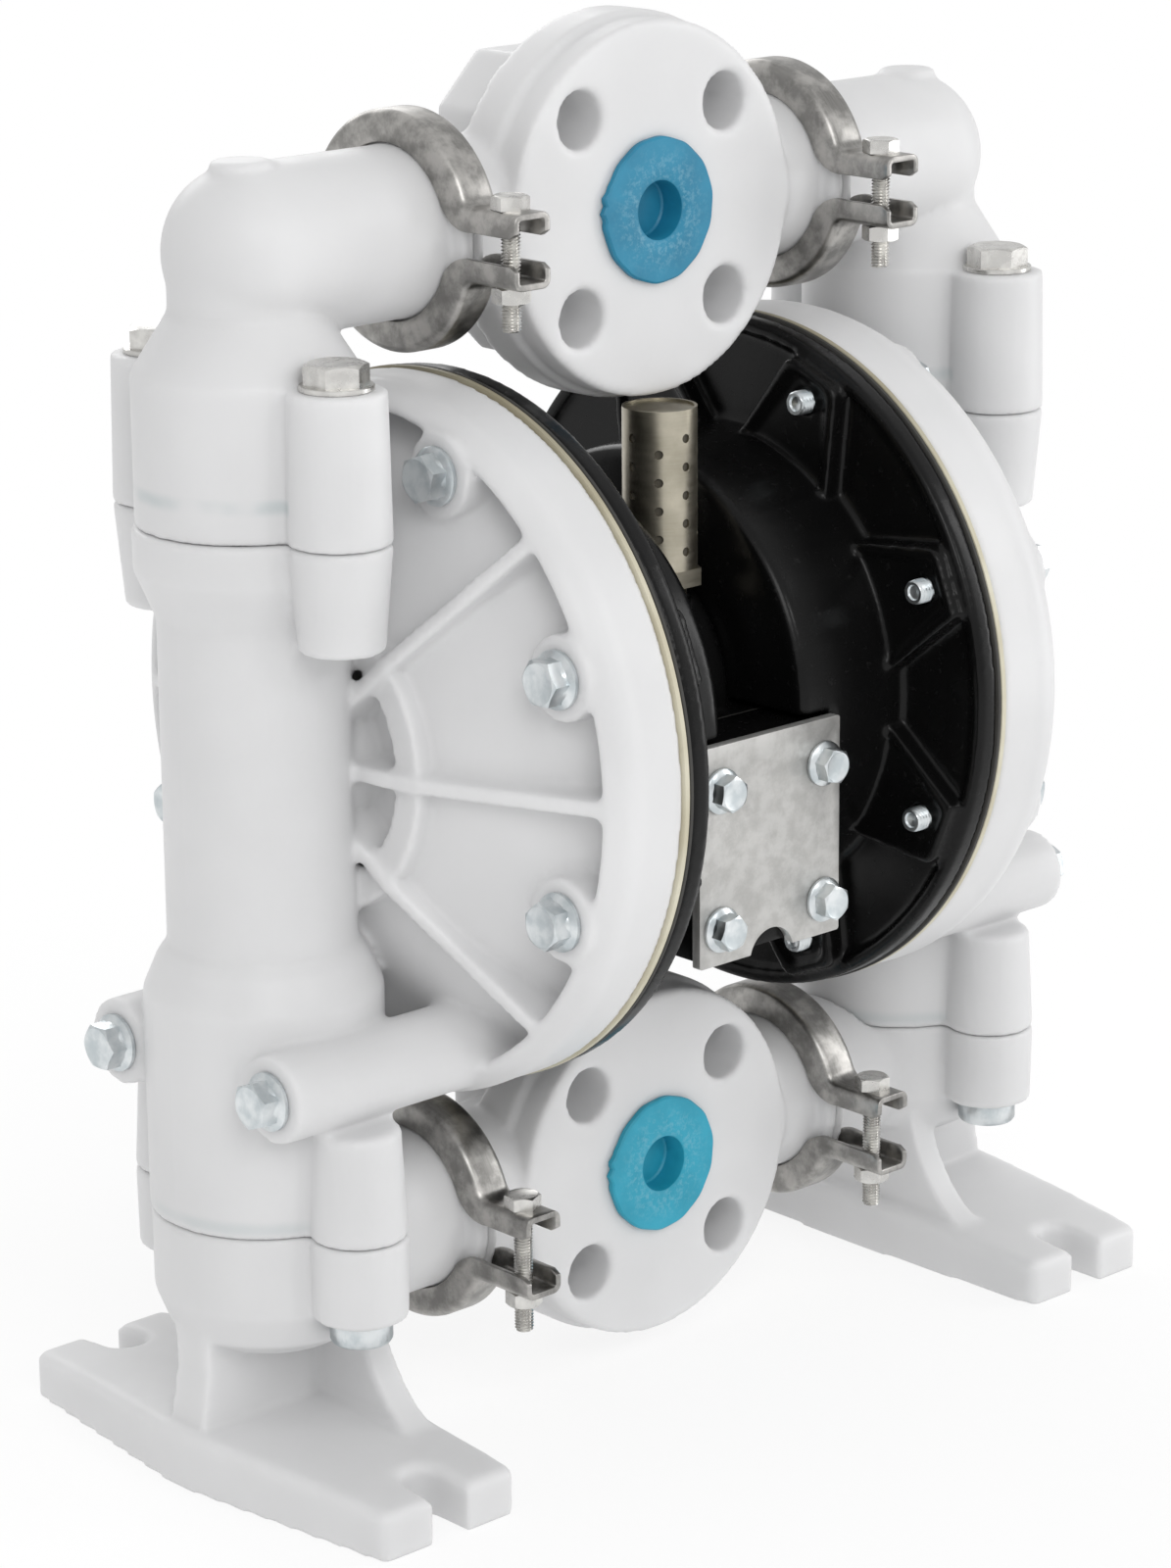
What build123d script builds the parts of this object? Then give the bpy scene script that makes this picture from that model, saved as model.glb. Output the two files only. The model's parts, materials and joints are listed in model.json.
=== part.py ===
"""Air operated double diaphragm pump, plastic, with flanged ports and clamped manifolds.

Frame: X runs along the diaphragm rod, -Y faces the flanged ports, Z is up.
The origin is on the floor, under the middle of the pump. Millimetres.

Most pieces come in a left and right pair, modelled on the right (+X) and mirrored.
"""
from build123d import *
from math import cos, radians, sin, sqrt
import os

# ---- Heights and spacings -------------------------------------------------
RIM_R = 111.0  # outer radius of both caps
CLAMP_R = 36.5  # outside of the manifold clamps
RIM_OVER_CLAMP = 6.8  # clear height from the inlet clamps up to the caps
CLAMP_OVER_RIM = 7.2  # clear height from the caps up to the outlet clamps
INLET_Z = 66.0  # height of the inlet manifold axis
ROD_Z = INLET_Z + CLAMP_R + RIM_OVER_CLAMP + RIM_R  # height of the rod axis
OUTLET_Z = ROD_Z + RIM_R + CLAMP_OVER_RIM + CLAMP_R  # height of the outlet manifold axis
COLUMN_X = 139.0  # valve column axis, from the middle
UPPER_JOINT_DROP = 79.0
UPPER_JOINT_Z = OUTLET_Z - UPPER_JOINT_DROP  # outlet elbow on fluid cap
LOWER_JOINT_RISE = 17.5
LOWER_JOINT_Z = INLET_Z + LOWER_JOINT_RISE  # fluid cap on foot elbow
CLAMP_X = 77.5  # clamped manifold joint, from the middle

# ---- Clearances -----------------------------------------------------------
FIT = 0.05  # radial clearance of a fitted or running piece
SEAT_GAP = 0.05  # ball to valve seat
POCKET_GAP = 0.5  # loose pocket around a fixed piece

# ---- Cap bolts and rim ----------------------------------------------------
BOLT_EDGE = 15.1  # bolt circle to the rim
BOLT_CIRCLE_R = RIM_R - BOLT_EDGE
BOLT_LAND = 9.9  # bolt circle to the chambers
BOLT_COUNT = 8
BOLT_R = 4.0  # M8
BOLT_HOLE_R = 4.5
LIP_T = 7.0  # raised rim of the fluid cap, radially

# ---- Stack along the rod --------------------------------------------------
CENTRE_HALF = 17.0  # centre body face that the air cap seats on
AIR_FACE_X = 65.5  # clamping face of the air cap
BACKUP_T = 1.6  # rubber backing diaphragm
DIAPHRAGM_T = 2.2  # facing diaphragm
FOLD_DEPTH = 1.5  # rolled fold of the diaphragms, towards the air side
CAP_FACE_X = AIR_FACE_X + BACKUP_T + DIAPHRAGM_T
STROKE = 8.0  # rod travel to each side

# ---- Rod and plates -------------------------------------------------------
ROD_R = 10.0
STUD_R = 6.0
INNER_PLATE_R = 52.0
INNER_PLATE_T = 6.5
OUTER_PLATE_R = 47.0
OUTER_PLATE_T = 12.0
BUSH_T = 3.0
BUSH_LENGTH = 16.0
SEAL_WIDTH = 3.0

# ---- Air cap --------------------------------------------------------------
AIR_CHAMBER_R = BOLT_CIRCLE_R - BOLT_LAND
HUB_WALL = 10.0  # chamber wall that shows between the hub and the pockets
HUB_R = AIR_CHAMBER_R - HUB_WALL
AIR_RIM_T = 7.5
AIR_LIP_T = 5.0  # rim outside the pockets, radially
POCKET_DEPTH = 2.5  # recess between the stud pads
PAD_T = 10.5  # stud pad, from the clamping face
PAD_RIB = 1.6  # raised border of a stud pad
PAD_RIB_WIDTH = 3.4
PAD_ROOT_ANGLE = 17.5  # half of a pad's width, as an angle, at the hub
PAD_TIP_ANGLE = 6.0  # and at the rim
FLOOR_GAP = 10.0  # inner plate to the floor, at the end of its stroke
AIR_FLOOR_X = AIR_FACE_X - INNER_PLATE_T - STROKE - FLOOR_GAP
SPIGOT_R = 30.0
STUD_PROUD = 4.5  # bolt thread past the pad

# ---- Centre body, valve block and cover plate -----------------------------
CENTRE_R = 48.0
CENTRE_RIM_HALF = 12.0
PEDESTAL_Y = -52.0  # front face that the valve block seats on
BLOCK_WIDTH = 57.0
BLOCK_HEIGHT = 67.5
BLOCK_DROP = 1.3  # top of the block under the rod axis
BLOCK_TOP_Z = ROD_Z - BLOCK_DROP
BLOCK_BOTTOM_Z = BLOCK_TOP_Z - BLOCK_HEIGHT
BLOCK_DEPTH = 21.9
GASKET_T = 0.8
PLATE_X = -0.75  # middle of the cover plate
PLATE_OVERHANG_X = 1.75
PLATE_OVERHANG_Z = 1.15
PLATE_WIDTH = BLOCK_WIDTH + 2 * PLATE_OVERHANG_X
PLATE_HEIGHT = BLOCK_HEIGHT + 2 * PLATE_OVERHANG_Z
PLATE_T = 3.3
PLATE_BOLT_INSET_X = 6.3  # from the sides of the block
PLATE_BOLT_INSET_Z = 11.65  # from its top and bottom
PLATE_BOLT_X = BLOCK_WIDTH / 2 - PLATE_BOLT_INSET_X
PLATE_BOLT_Z = BLOCK_HEIGHT / 2 - PLATE_BOLT_INSET_Z
PLATE_BOLT_R = 3.0  # M6
NOTCH_R = 9.5
SPOOL_R = 9.0
SPOOL_STROKE = 6.0  # spool travel to each side
SPOOL_GROOVE = 2.5
END_CAP_T = 4.0
SPOOL_LENGTH = BLOCK_WIDTH - 2 * (END_CAP_T + SPOOL_STROKE + POCKET_GAP)
PORT_R = 3.5
AIR_INLET_R = 5.9  # tapping size of a quarter inch pipe thread
AIR_INLET_DEPTH = 16.0
AIR_INLET_Y = 62.0
INLET_BOSS_R = 14.0

# ---- Muffler --------------------------------------------------------------
MUFFLER_Y = -28.4
MUFFLER_RISE = 33.7
MUFFLER_Z = ROD_Z + MUFFLER_RISE  # foot of the neck, on the centre body
MUFFLER_R = 11.7
MUFFLER_LENGTH = 50.6
MUFFLER_WALL = 0.8
NECK_R = 8.3  # three eighths pipe thread
NECK_LENGTH = 4.6
MUFFLER_HEX = 23.0
MUFFLER_HEX_T = 5.5
NIPPLE_ROOT = 16.0  # neck below its foot, threaded into the centre body
VENT_R = 1.4
VENT_ROWS = 5
VENT_COLUMNS = 8
VENT_PITCH = 8.9
VENT_START = 6.2  # lowest row above the foot of the can

# ---- Fluid cap ------------------------------------------------------------
CAP_LIP_X = 97.0
LIP_ROLL = 12.0  # rounding of the lip, along the rod
CAP_POCKET_X = 77.0  # outside of the dome where it meets the lip
DOME_TOP_X = 111.0
DOME_BULGE = 5.0  # rise of the dome's arc over its chord
RING_X = 117.0  # ring round the middle of the cap
RING_R = 48.0
WELL_R = 37.0
WELL_X = 109.0
CAP_WALL = 7.0
CHAMBER_R = BOLT_CIRCLE_R - BOLT_LAND
RIB_T = 5.0
RIB_TOP_X = 122.0
PAD_R = 13.0
CAP_PAD_X = 98.0
LONG_BOSS_X = 167.0  # the two lowest bolts stand on long bosses
LONG_BOSS_R = 13.5

# ---- Valve columns --------------------------------------------------------
COLUMN_R = 28.7
COLUMN_BORE_R = 19.0
HOUSING_R = 36.5
HOUSING_HEIGHT = 69.5
HOUSING_TOP_Z = LOWER_JOINT_Z + HOUSING_HEIGHT
SHOULDER = 15.0
FLANGE_R = 35.0
FLANGE_HEIGHT = 28.0  # widened head of the column under the joint
FLANGE_ROOT_Z = UPPER_JOINT_Z - FLANGE_HEIGHT
CHAMBER_PORT_R = 15.0
UPPER_BOLT_Y = 41.0
LOWER_BOLT_Y = 42.5
UPPER_BOSS_R = 15.5
LOWER_BOSS_R = 15.0
UPPER_BOSS_LENGTH = 32.0
LOWER_BOSS_LENGTH = 34.5

# ---- Ball valves ----------------------------------------------------------
BALL_R = 15.9
BALL_LIFT = 8.0
SEAT_R = 24.0
SEAT_BORE_R = 12.5
SEAT_CONTACT_R = 13.6
SEAT_HALF = 4.0  # seat above and below the joint
CAGE_R = 22.0
CAGE_RIB = 4.0
CAGE_RIBS = 4
CAGE_GAP = 0.6
STOP_R = 8.0
SEAL_R = 28.5
SEAL_SECTION_R = 1.2

# ---- Elbows and feet ------------------------------------------------------
PIPE_R = 26.0
PIPE_BORE_R = 17.0
RISER_R = 22.5
ELBOW_BODY_R = 34.0
ELBOW_BODY_DROP = 34.0  # top of the body under the pipe axis
ELBOW_BODY_TOP_Z = OUTLET_Z - ELBOW_BODY_DROP
ELBOW_CONE_DROP = 16.0
ELBOW_CONE_Z = OUTLET_Z - ELBOW_CONE_DROP
ELBOW_BOLT_R = 5.0  # M10
WASHER_R = 11.0
SPOT_HEIGHT = 16.0  # spot face over a bolt boss
WASHER_T = 1.6
ELBOW_HEAD_AF = 17.0
ELBOW_HEAD_T = 6.4
ELBOW_THREAD = 20.0
SPRUE_R = 9.0
SPRUE_T = 1.5
FOOT_BODY_R = 36.0
FOOT_BODY_DROP = 26.0  # bottom of the body under the pipe axis
FOOT_BODY_BOTTOM_Z = INLET_Z - FOOT_BODY_DROP
FOOT_BOSS_LENGTH = 26.0
FOOT_BOSS_BOTTOM_Z = LOWER_JOINT_Z - FOOT_BOSS_LENGTH
FOOT_SCREW_R = 4.0  # M8
FOOT_SCREW_HEAD_R = 9.6
FOOT_SCREW_HEAD_T = 7.5
FOOT_SCREW_THREAD = 24.0
FOOT_T = 15.0  # base thickness at the slotted ends
FOOT_MIDDLE_T = 18.5  # and under the column
FOOT_HALF_LENGTH = 86.3
FOOT_END_INNER_X = 116.0
FOOT_END_OUTER_X = 168.0
FOOT_WAIST_INNER_X = 112.5
FOOT_WAIST_OUTER_X = 178.5
FOOT_BEND_Y = 6.0
FOOT_SLOT_WIDTH = 13.5
FOOT_SLOT_DEPTH = 20.0
RIB_HALF = 8.0
WEB_T = 10.0

# ---- Clamped joints -------------------------------------------------------
FERRULE_R = 32.0
FERRULE_T = 4.0
CLAMP_WIDTH = 14.0
CLAMP_T = 2.2
CLAMP_BOLT_Y = 47.4
CLAMP_BOLT_R = 3.0  # M6
CLAMP_EAR_Y = 57.0
EAR_FLANGE = 6.5
EAR_OPEN = 11.3  # outside of an ear, from the pipe axis
EAR_OPEN_LOW = 15.9  # the same on the lower halves of the inlet clamps
CLAMP_HEX_AF = 10.0
CLAMP_HEAD_T = 4.3
CLAMP_NUT_T = 5.0
CLAMP_BOLT_TAIL = 8.5  # thread past the nut

# ---- Flanged tees ---------------------------------------------------------
PORT_FACE_Y = -27.0
FLANGE_OUTER_R = 57.5
FLANGE_T = 12.0
SHOULDER_R = 59.5
SHOULDER_T = 15.0
PORT_BORE_R = 12.5
PORT_BOLT_CIRCLE_R = 42.5
PORT_BOLT_HOLE_R = 9.0
PORT_BOLT_DEPTH = 20.0
TEE_BLOCK_Y = 27.0
TEE_BLOCK_HALF_WIDTH = 41.0
TEE_BLOCK_HALF_HEIGHT = 46.5
TEE_BLOCK_CHAMFER = 16.0
PORT_PLUG_FLANGE_R = 22.3
PORT_PLUG_FLANGE_T = 2.4
PORT_PLUG_DEPTH = 15.0
PORT_PLUG_WELL_R = 9.0
PORT_PLUG_WELL_DEPTH = 9.0

ROD = Axis((0, 0, ROD_Z), (1, 0, 0))
COLUMN = Axis((COLUMN_X, 0, 0), (0, 0, 1))
BOLT_ANGLES = [360 / BOLT_COUNT * (k + 0.5) for k in range(BOLT_COUNT)]
LOW_ANGLES = BOLT_ANGLES[5:7]  # the two beside the lower valve housing

os.makedirs("parts", exist_ok=True)


# ---- Helpers --------------------------------------------------------------
def save(part, name):
    """Label a finished piece and write it."""
    part.label = name
    export_step(part, f"parts/{name}.step")


def save_pair(part, name):
    """Write the right hand piece and its mirror image on the left."""
    save(part, f"right_{name}")
    with BuildPart() as left:
        mirror(part, about=Plane.YZ)
    save(left.part, f"left_{name}")


def across(x, z=ROD_Z):
    """Plane square to X, with its local axes along Y and Z."""
    return Plane(origin=(x, 0, z), x_dir=(0, 1, 0), z_dir=(1, 0, 0))


def facing_front(y, z):
    """Plane square to Y that faces -Y, with its local axes along X and Z."""
    return Plane(origin=(0, y, z), x_dir=(1, 0, 0), z_dir=(0, -1, 0))


def spoke(angle):
    """Plane that holds the rod axis, with local y pointing out at an angle from +Y."""
    turn = radians(angle)
    return Plane(origin=(0, 0, ROD_Z), x_dir=(1, 0, 0), z_dir=(0, -sin(turn), cos(turn)))


def profile(plane, points):
    """Closed face through the points."""
    with BuildSketch(plane) as face:
        with BuildLine():
            Polyline(*points, close=True)
        make_face()
    return face.sketch


def rod_profile(points):
    """Face of (x, radius) points for turning about the rod axis."""
    return profile(facing_front(0, ROD_Z), points)


def column_profile(points):
    """Face of (radius, z) points for turning about the valve column axis."""
    return profile(Plane(origin=(COLUMN_X, 0, 0), x_dir=(1, 0, 0), z_dir=(0, -1, 0)), points)


def polar(radius, angle):
    """Point at a radius and an angle in degrees."""
    return (radius * cos(radians(angle)), radius * sin(radians(angle)))


def seat_rise():
    """Ball centre above the joint plane that holds its seat."""
    return SEAT_HALF + sqrt((BALL_R + SEAT_GAP) ** 2 - SEAT_CONTACT_R**2)


def cut_ball_cage(joint_z):
    """Pocket over a valve seat with guide ribs and a stop for the ball."""
    stop_z = joint_z + seat_rise() + BALL_R + BALL_LIFT + CAGE_GAP
    cage_height = stop_z - joint_z + CAGE_RIB
    with BuildPart() as cage:
        with BuildSketch(Plane.XY.offset(joint_z)):
            with Locations((COLUMN_X, 0)):
                Circle(CAGE_R)
        extrude(amount=cage_height)
        with BuildSketch(Plane.XY.offset(joint_z + SEAT_HALF)):
            with Locations((COLUMN_X, 0)):
                with PolarLocations(CAGE_R, CAGE_RIBS, start_angle=45):
                    Rectangle(2 * (CAGE_R - STOP_R), CAGE_RIB)
        extrude(amount=cage_height, mode=Mode.SUBTRACT)
        with BuildSketch(Plane.XY.offset(joint_z)):
            with Locations((COLUMN_X, 0)):
                Circle(BALL_R + CAGE_GAP)
        extrude(amount=stop_z - joint_z)
    return cage.part


def bolt_shape(x_head, x_end, radius, hole_angle):
    """Flange bolt along -X whose head stands on x_head."""
    y, z = polar(BOLT_CIRCLE_R, hole_angle)
    with BuildPart() as bolt:
        with BuildSketch(across(x_end)):
            with Locations((y, z)):
                Circle(radius)
        extrude(amount=x_head - x_end)
        with BuildSketch(across(x_head)):
            with Locations((y, z)):
                Circle(2.24 * radius)
        extrude(amount=0.45 * radius, taper=12)
        with BuildSketch(across(x_head)):
            with Locations((y, z)):
                RegularPolygon(1.625 * radius, 6, major_radius=False)
        extrude(amount=2.0 * radius)
    return bolt.part


# ---- Wet side -------------------------------------------------------------
def dome_point(inset):
    """Point half way up the dome, moved inwards by the inset."""
    rise = DOME_TOP_X - CAP_POCKET_X
    fall = RIM_R - LIP_T - RING_R
    slope = sqrt(rise**2 + fall**2)
    out = DOME_BULGE - inset
    x = (DOME_TOP_X + CAP_POCKET_X) / 2 + out * fall / slope
    return (x, (RIM_R - LIP_T + RING_R) / 2 + out * rise / slope)


def cap_outside():
    """Half section of the cap's outside: rolled lip, dome, ring and well."""
    lip_in = RIM_R - LIP_T
    roll = CAP_LIP_X - LIP_ROLL
    with BuildSketch(facing_front(0, ROD_Z)) as section:
        with BuildLine():
            Polyline((WELL_X, 0), (CAP_FACE_X, 0), (CAP_FACE_X, RIM_R), (roll, RIM_R))
            ThreePointArc(
                (roll, RIM_R),
                (CAP_LIP_X - 0.25 * LIP_ROLL, RIM_R - 0.25 * LIP_T),
                (CAP_LIP_X, RIM_R - 0.75 * LIP_T),
            )
            Polyline(
                (CAP_LIP_X, RIM_R - 0.75 * LIP_T),
                (CAP_LIP_X - 2, lip_in),
                (CAP_POCKET_X, lip_in),
            )
            ThreePointArc((CAP_POCKET_X, lip_in), dome_point(0), (DOME_TOP_X, RING_R))
            Polyline((DOME_TOP_X, RING_R), (RING_X, RING_R), (RING_X, WELL_R), (WELL_X, WELL_R), (WELL_X, 0))
        make_face()
    return section.sketch


def cap_chamber():
    """Half section of the space in front of the diaphragm."""
    crown_x = WELL_X - CAP_WALL
    with BuildSketch(facing_front(0, ROD_Z)) as section:
        with BuildLine():
            Polyline((crown_x, 0), (CAP_FACE_X, 0), (CAP_FACE_X, CHAMBER_R))
            ThreePointArc((CAP_FACE_X, CHAMBER_R), dome_point(CAP_WALL + DOME_BULGE), (crown_x, WELL_R - 2))
            Line((crown_x, WELL_R - 2), (crown_x, 0))
        make_face()
    return section.sketch


def fluid_cap():
    """Domed cap with its valve column, bolt pads, ribs and flanges."""
    with BuildPart() as cap:
        revolve(cap_outside(), axis=ROD)
        for angle in BOLT_ANGLES:
            low = angle in LOW_ANGLES
            with BuildSketch(across(CAP_FACE_X)):
                with Locations(polar(BOLT_CIRCLE_R, angle)):
                    Circle(LONG_BOSS_R if low else PAD_R)
            extrude(amount=(LONG_BOSS_X if low else CAP_PAD_X) - CAP_FACE_X)
        for angle in (0, 45, 135, 180, 225, 315):
            rib = profile(spoke(angle), [
                (CAP_POCKET_X - 1, 0),
                (CAP_POCKET_X - 1, RIM_R - 0.6 * LIP_T),
                (CAP_LIP_X, RIM_R - 0.8 * LIP_T),
                (RIB_TOP_X - 3, RING_R),
                (RIB_TOP_X, WELL_R - RIB_T),
                (RIB_TOP_X, 0),
            ])
            extrude(rib, amount=RIB_T / 2, both=True)
        column = column_profile([
            (0, LOWER_JOINT_Z),
            (HOUSING_R, LOWER_JOINT_Z),
            (HOUSING_R, HOUSING_TOP_Z),
            (HOUSING_R - 0.3 * SHOULDER, HOUSING_TOP_Z + 0.7 * SHOULDER),
            (COLUMN_R, HOUSING_TOP_Z + SHOULDER),
            (COLUMN_R, FLANGE_ROOT_Z),
            (FLANGE_R, FLANGE_ROOT_Z + SHOULDER),
            (FLANGE_R, UPPER_JOINT_Z),
            (0, UPPER_JOINT_Z),
        ])
        revolve(column, axis=COLUMN)
        with BuildSketch(across(WELL_X - 1)):
            Circle(CHAMBER_PORT_R + CAP_WALL)
        extrude(amount=COLUMN_X - WELL_X + 1)
        for side in (-1, 1):
            with BuildSketch(Plane.XY.offset(UPPER_JOINT_Z)):
                with Locations((COLUMN_X, side * UPPER_BOLT_Y)):
                    Circle(UPPER_BOSS_R)
            extrude(amount=-UPPER_BOSS_LENGTH, taper=5)
            with BuildSketch(Plane.XY.offset(LOWER_JOINT_Z)):
                with Locations((COLUMN_X, side * LOWER_BOLT_Y)):
                    Circle(LOWER_BOSS_R)
            extrude(amount=LOWER_BOSS_LENGTH, taper=3)

        revolve(cap_chamber(), axis=ROD, mode=Mode.SUBTRACT)
        with BuildSketch(across(WELL_X - 2 * CAP_WALL)):
            Circle(CHAMBER_PORT_R)
        extrude(amount=COLUMN_X - WELL_X + 2 * CAP_WALL, mode=Mode.SUBTRACT)
        with BuildSketch(Plane.XY.offset(LOWER_JOINT_Z)):
            with Locations((COLUMN_X, 0)):
                Circle(COLUMN_BORE_R)
        extrude(amount=UPPER_JOINT_Z - LOWER_JOINT_Z, mode=Mode.SUBTRACT)
        add(cut_ball_cage(LOWER_JOINT_Z), mode=Mode.SUBTRACT)
        for joint_z, inward in ((LOWER_JOINT_Z, 1), (UPPER_JOINT_Z, -1)):
            with BuildSketch(Plane.XY.offset(joint_z)):
                with Locations((COLUMN_X, 0)):
                    Circle(SEAT_R + FIT)
            extrude(amount=inward * SEAT_HALF, mode=Mode.SUBTRACT)
            with BuildSketch(Plane.XY.offset(joint_z)):
                with Locations((COLUMN_X, 0)):
                    Circle(SEAL_R + SEAL_SECTION_R + FIT)
                    Circle(SEAL_R - SEAL_SECTION_R - FIT, mode=Mode.SUBTRACT)
            extrude(amount=inward * 2 * SEAL_SECTION_R, mode=Mode.SUBTRACT)
        for angle in BOLT_ANGLES:
            with BuildSketch(across(CAP_FACE_X)):
                with Locations(polar(BOLT_CIRCLE_R, angle)):
                    Circle(BOLT_HOLE_R)
            extrude(amount=LONG_BOSS_X - CAP_FACE_X, mode=Mode.SUBTRACT)
        for side in (-1, 1):
            with BuildSketch(Plane.XY.offset(UPPER_JOINT_Z)):
                with Locations((COLUMN_X, side * UPPER_BOLT_Y)):
                    Circle(ELBOW_BOLT_R + FIT)
            extrude(amount=-ELBOW_THREAD - 2, mode=Mode.SUBTRACT)
            with BuildSketch(Plane.XY.offset(LOWER_JOINT_Z)):
                with Locations((COLUMN_X, side * LOWER_BOLT_Y)):
                    Circle(FOOT_SCREW_R + FIT)
            extrude(amount=FOOT_SCREW_THREAD + 2, mode=Mode.SUBTRACT)
    return cap.part


def cap_bolts():
    """Eight flange bolts through the fluid cap, diaphragms and air cap."""
    end_x = AIR_FACE_X - PAD_T - STUD_PROUD
    with BuildPart() as bolts:
        for angle in BOLT_ANGLES:
            head_x = LONG_BOSS_X if angle in LOW_ANGLES else CAP_PAD_X
            add(bolt_shape(head_x, end_x, BOLT_R, angle))
    return bolts.part


def valve_seat(joint_z):
    """Ring with a spherical seating face under the ball."""
    with BuildPart() as seat:
        with BuildSketch(Plane.XY.offset(joint_z - SEAT_HALF)):
            with Locations((COLUMN_X, 0)):
                Circle(SEAT_R)
                Circle(SEAT_BORE_R, mode=Mode.SUBTRACT)
        extrude(amount=2 * SEAT_HALF)
        with Locations((COLUMN_X, 0, joint_z + seat_rise())):
            Sphere(BALL_R + SEAT_GAP, mode=Mode.SUBTRACT)
    return seat.part


def valve_ball(joint_z):
    """Ball at rest on its seat."""
    with BuildPart() as ball:
        with Locations((COLUMN_X, 0, joint_z + seat_rise())):
            Sphere(BALL_R)
    return ball.part


def seat_seals():
    """O-rings in the joint faces of all four valve seats."""
    with BuildPart() as seals:
        for x in (-COLUMN_X, COLUMN_X):
            for z in (LOWER_JOINT_Z + SEAL_SECTION_R, UPPER_JOINT_Z - SEAL_SECTION_R):
                with Locations((x, 0, z)):
                    Torus(SEAL_R, SEAL_SECTION_R)
    return seals.part


def ferrule(axis_z, outward):
    """Clamp collar on the end of a manifold pipe. outward is 1 on elbows, -1 on tees."""
    with BuildPart() as collar:
        with BuildSketch(across(CLAMP_X, axis_z)):
            Circle(FERRULE_R)
        extrude(amount=outward * FERRULE_T)
        with BuildSketch(across(CLAMP_X, axis_z)):
            Circle(PIPE_BORE_R)
        extrude(amount=outward * FERRULE_T, mode=Mode.SUBTRACT)
    return collar.part


def outlet_elbow():
    """Elbow over the outlet valve, with bolt bosses and a clamp collar."""
    with BuildPart() as elbow:
        body = column_profile([
            (0, UPPER_JOINT_Z),
            (ELBOW_BODY_R, UPPER_JOINT_Z),
            (ELBOW_BODY_R, ELBOW_BODY_TOP_Z),
            (RISER_R, ELBOW_CONE_Z),
            (RISER_R, OUTLET_Z),
            (0, OUTLET_Z),
        ])
        revolve(body, axis=COLUMN)
        with BuildSketch(facing_front(0, OUTLET_Z)):
            with Locations((COLUMN_X, 0)):
                Ellipse(RISER_R, PIPE_R)
                Rectangle(
                    2 * RISER_R,
                    PIPE_R,
                    align=(Align.CENTER, Align.MAX),
                    mode=Mode.SUBTRACT,
                )
        revolve(axis=Axis((0, 0, OUTLET_Z), (1, 0, 0)))
        with BuildSketch(across(CLAMP_X, OUTLET_Z)):
            Circle(PIPE_R)
        extrude(amount=COLUMN_X - CLAMP_X)
        with BuildSketch(Plane.XY.offset(OUTLET_Z)):
            with Locations((COLUMN_X, 0)):
                Circle(SPRUE_R)
        extrude(amount=PIPE_R + SPRUE_T)
        for side in (-1, 1):
            with BuildSketch(Plane.XY.offset(UPPER_JOINT_Z)):
                with Locations((COLUMN_X, side * UPPER_BOLT_Y)):
                    Circle(UPPER_BOSS_R)
            extrude(amount=ELBOW_BODY_TOP_Z - UPPER_JOINT_Z, taper=1)
        add(ferrule(OUTLET_Z, 1))
        with BuildSketch(across(CLAMP_X, OUTLET_Z)):
            Circle(PIPE_BORE_R)
        extrude(amount=COLUMN_X - CLAMP_X, mode=Mode.SUBTRACT)
        with Locations((COLUMN_X, 0, OUTLET_Z)):
            Sphere(PIPE_BORE_R, mode=Mode.SUBTRACT)
        with BuildSketch(Plane.XY.offset(UPPER_JOINT_Z)):
            with Locations((COLUMN_X, 0)):
                Circle(PIPE_BORE_R)
        extrude(amount=OUTLET_Z - UPPER_JOINT_Z, mode=Mode.SUBTRACT)
        add(cut_ball_cage(UPPER_JOINT_Z), mode=Mode.SUBTRACT)
        with BuildSketch(Plane.XY.offset(UPPER_JOINT_Z)):
            with Locations((COLUMN_X, 0)):
                Circle(SEAT_R + FIT)
        extrude(amount=SEAT_HALF, mode=Mode.SUBTRACT)
        for side in (-1, 1):
            with BuildSketch(Plane.XY.offset(UPPER_JOINT_Z)):
                with Locations((COLUMN_X, side * UPPER_BOLT_Y)):
                    Circle(ELBOW_BOLT_R + POCKET_GAP)
            extrude(amount=ELBOW_BODY_TOP_Z - UPPER_JOINT_Z, mode=Mode.SUBTRACT)
            with BuildSketch(Plane.XY.offset(ELBOW_BODY_TOP_Z)):
                with Locations((COLUMN_X, side * UPPER_BOLT_Y)):
                    Circle(WASHER_R + POCKET_GAP)
            extrude(amount=SPOT_HEIGHT, mode=Mode.SUBTRACT)
    return elbow.part


def elbow_bolts():
    """Hexagon bolts that hold both outlet elbows down."""
    head_z = ELBOW_BODY_TOP_Z + WASHER_T
    with BuildPart() as bolts:
        for x in (-COLUMN_X, COLUMN_X):
            for y in (-UPPER_BOLT_Y, UPPER_BOLT_Y):
                with BuildSketch(Plane.XY.offset(UPPER_JOINT_Z - ELBOW_THREAD)):
                    with Locations((x, y)):
                        Circle(ELBOW_BOLT_R)
                extrude(amount=head_z - UPPER_JOINT_Z + ELBOW_THREAD)
                with BuildSketch(Plane.XY.offset(head_z)):
                    with Locations((x, y)):
                        RegularPolygon(ELBOW_HEAD_AF / 2, 6, major_radius=False)
                extrude(amount=ELBOW_HEAD_T)
    return bolts.part


def elbow_washers():
    """Flat washers under the elbow bolts."""
    with BuildPart() as washers:
        with BuildSketch(Plane.XY.offset(ELBOW_BODY_TOP_Z)):
            with GridLocations(2 * COLUMN_X, 2 * UPPER_BOLT_Y, 2, 2):
                Circle(WASHER_R)
                Circle(ELBOW_BOLT_R + FIT, mode=Mode.SUBTRACT)
        extrude(amount=WASHER_T)
    return washers.part


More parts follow.
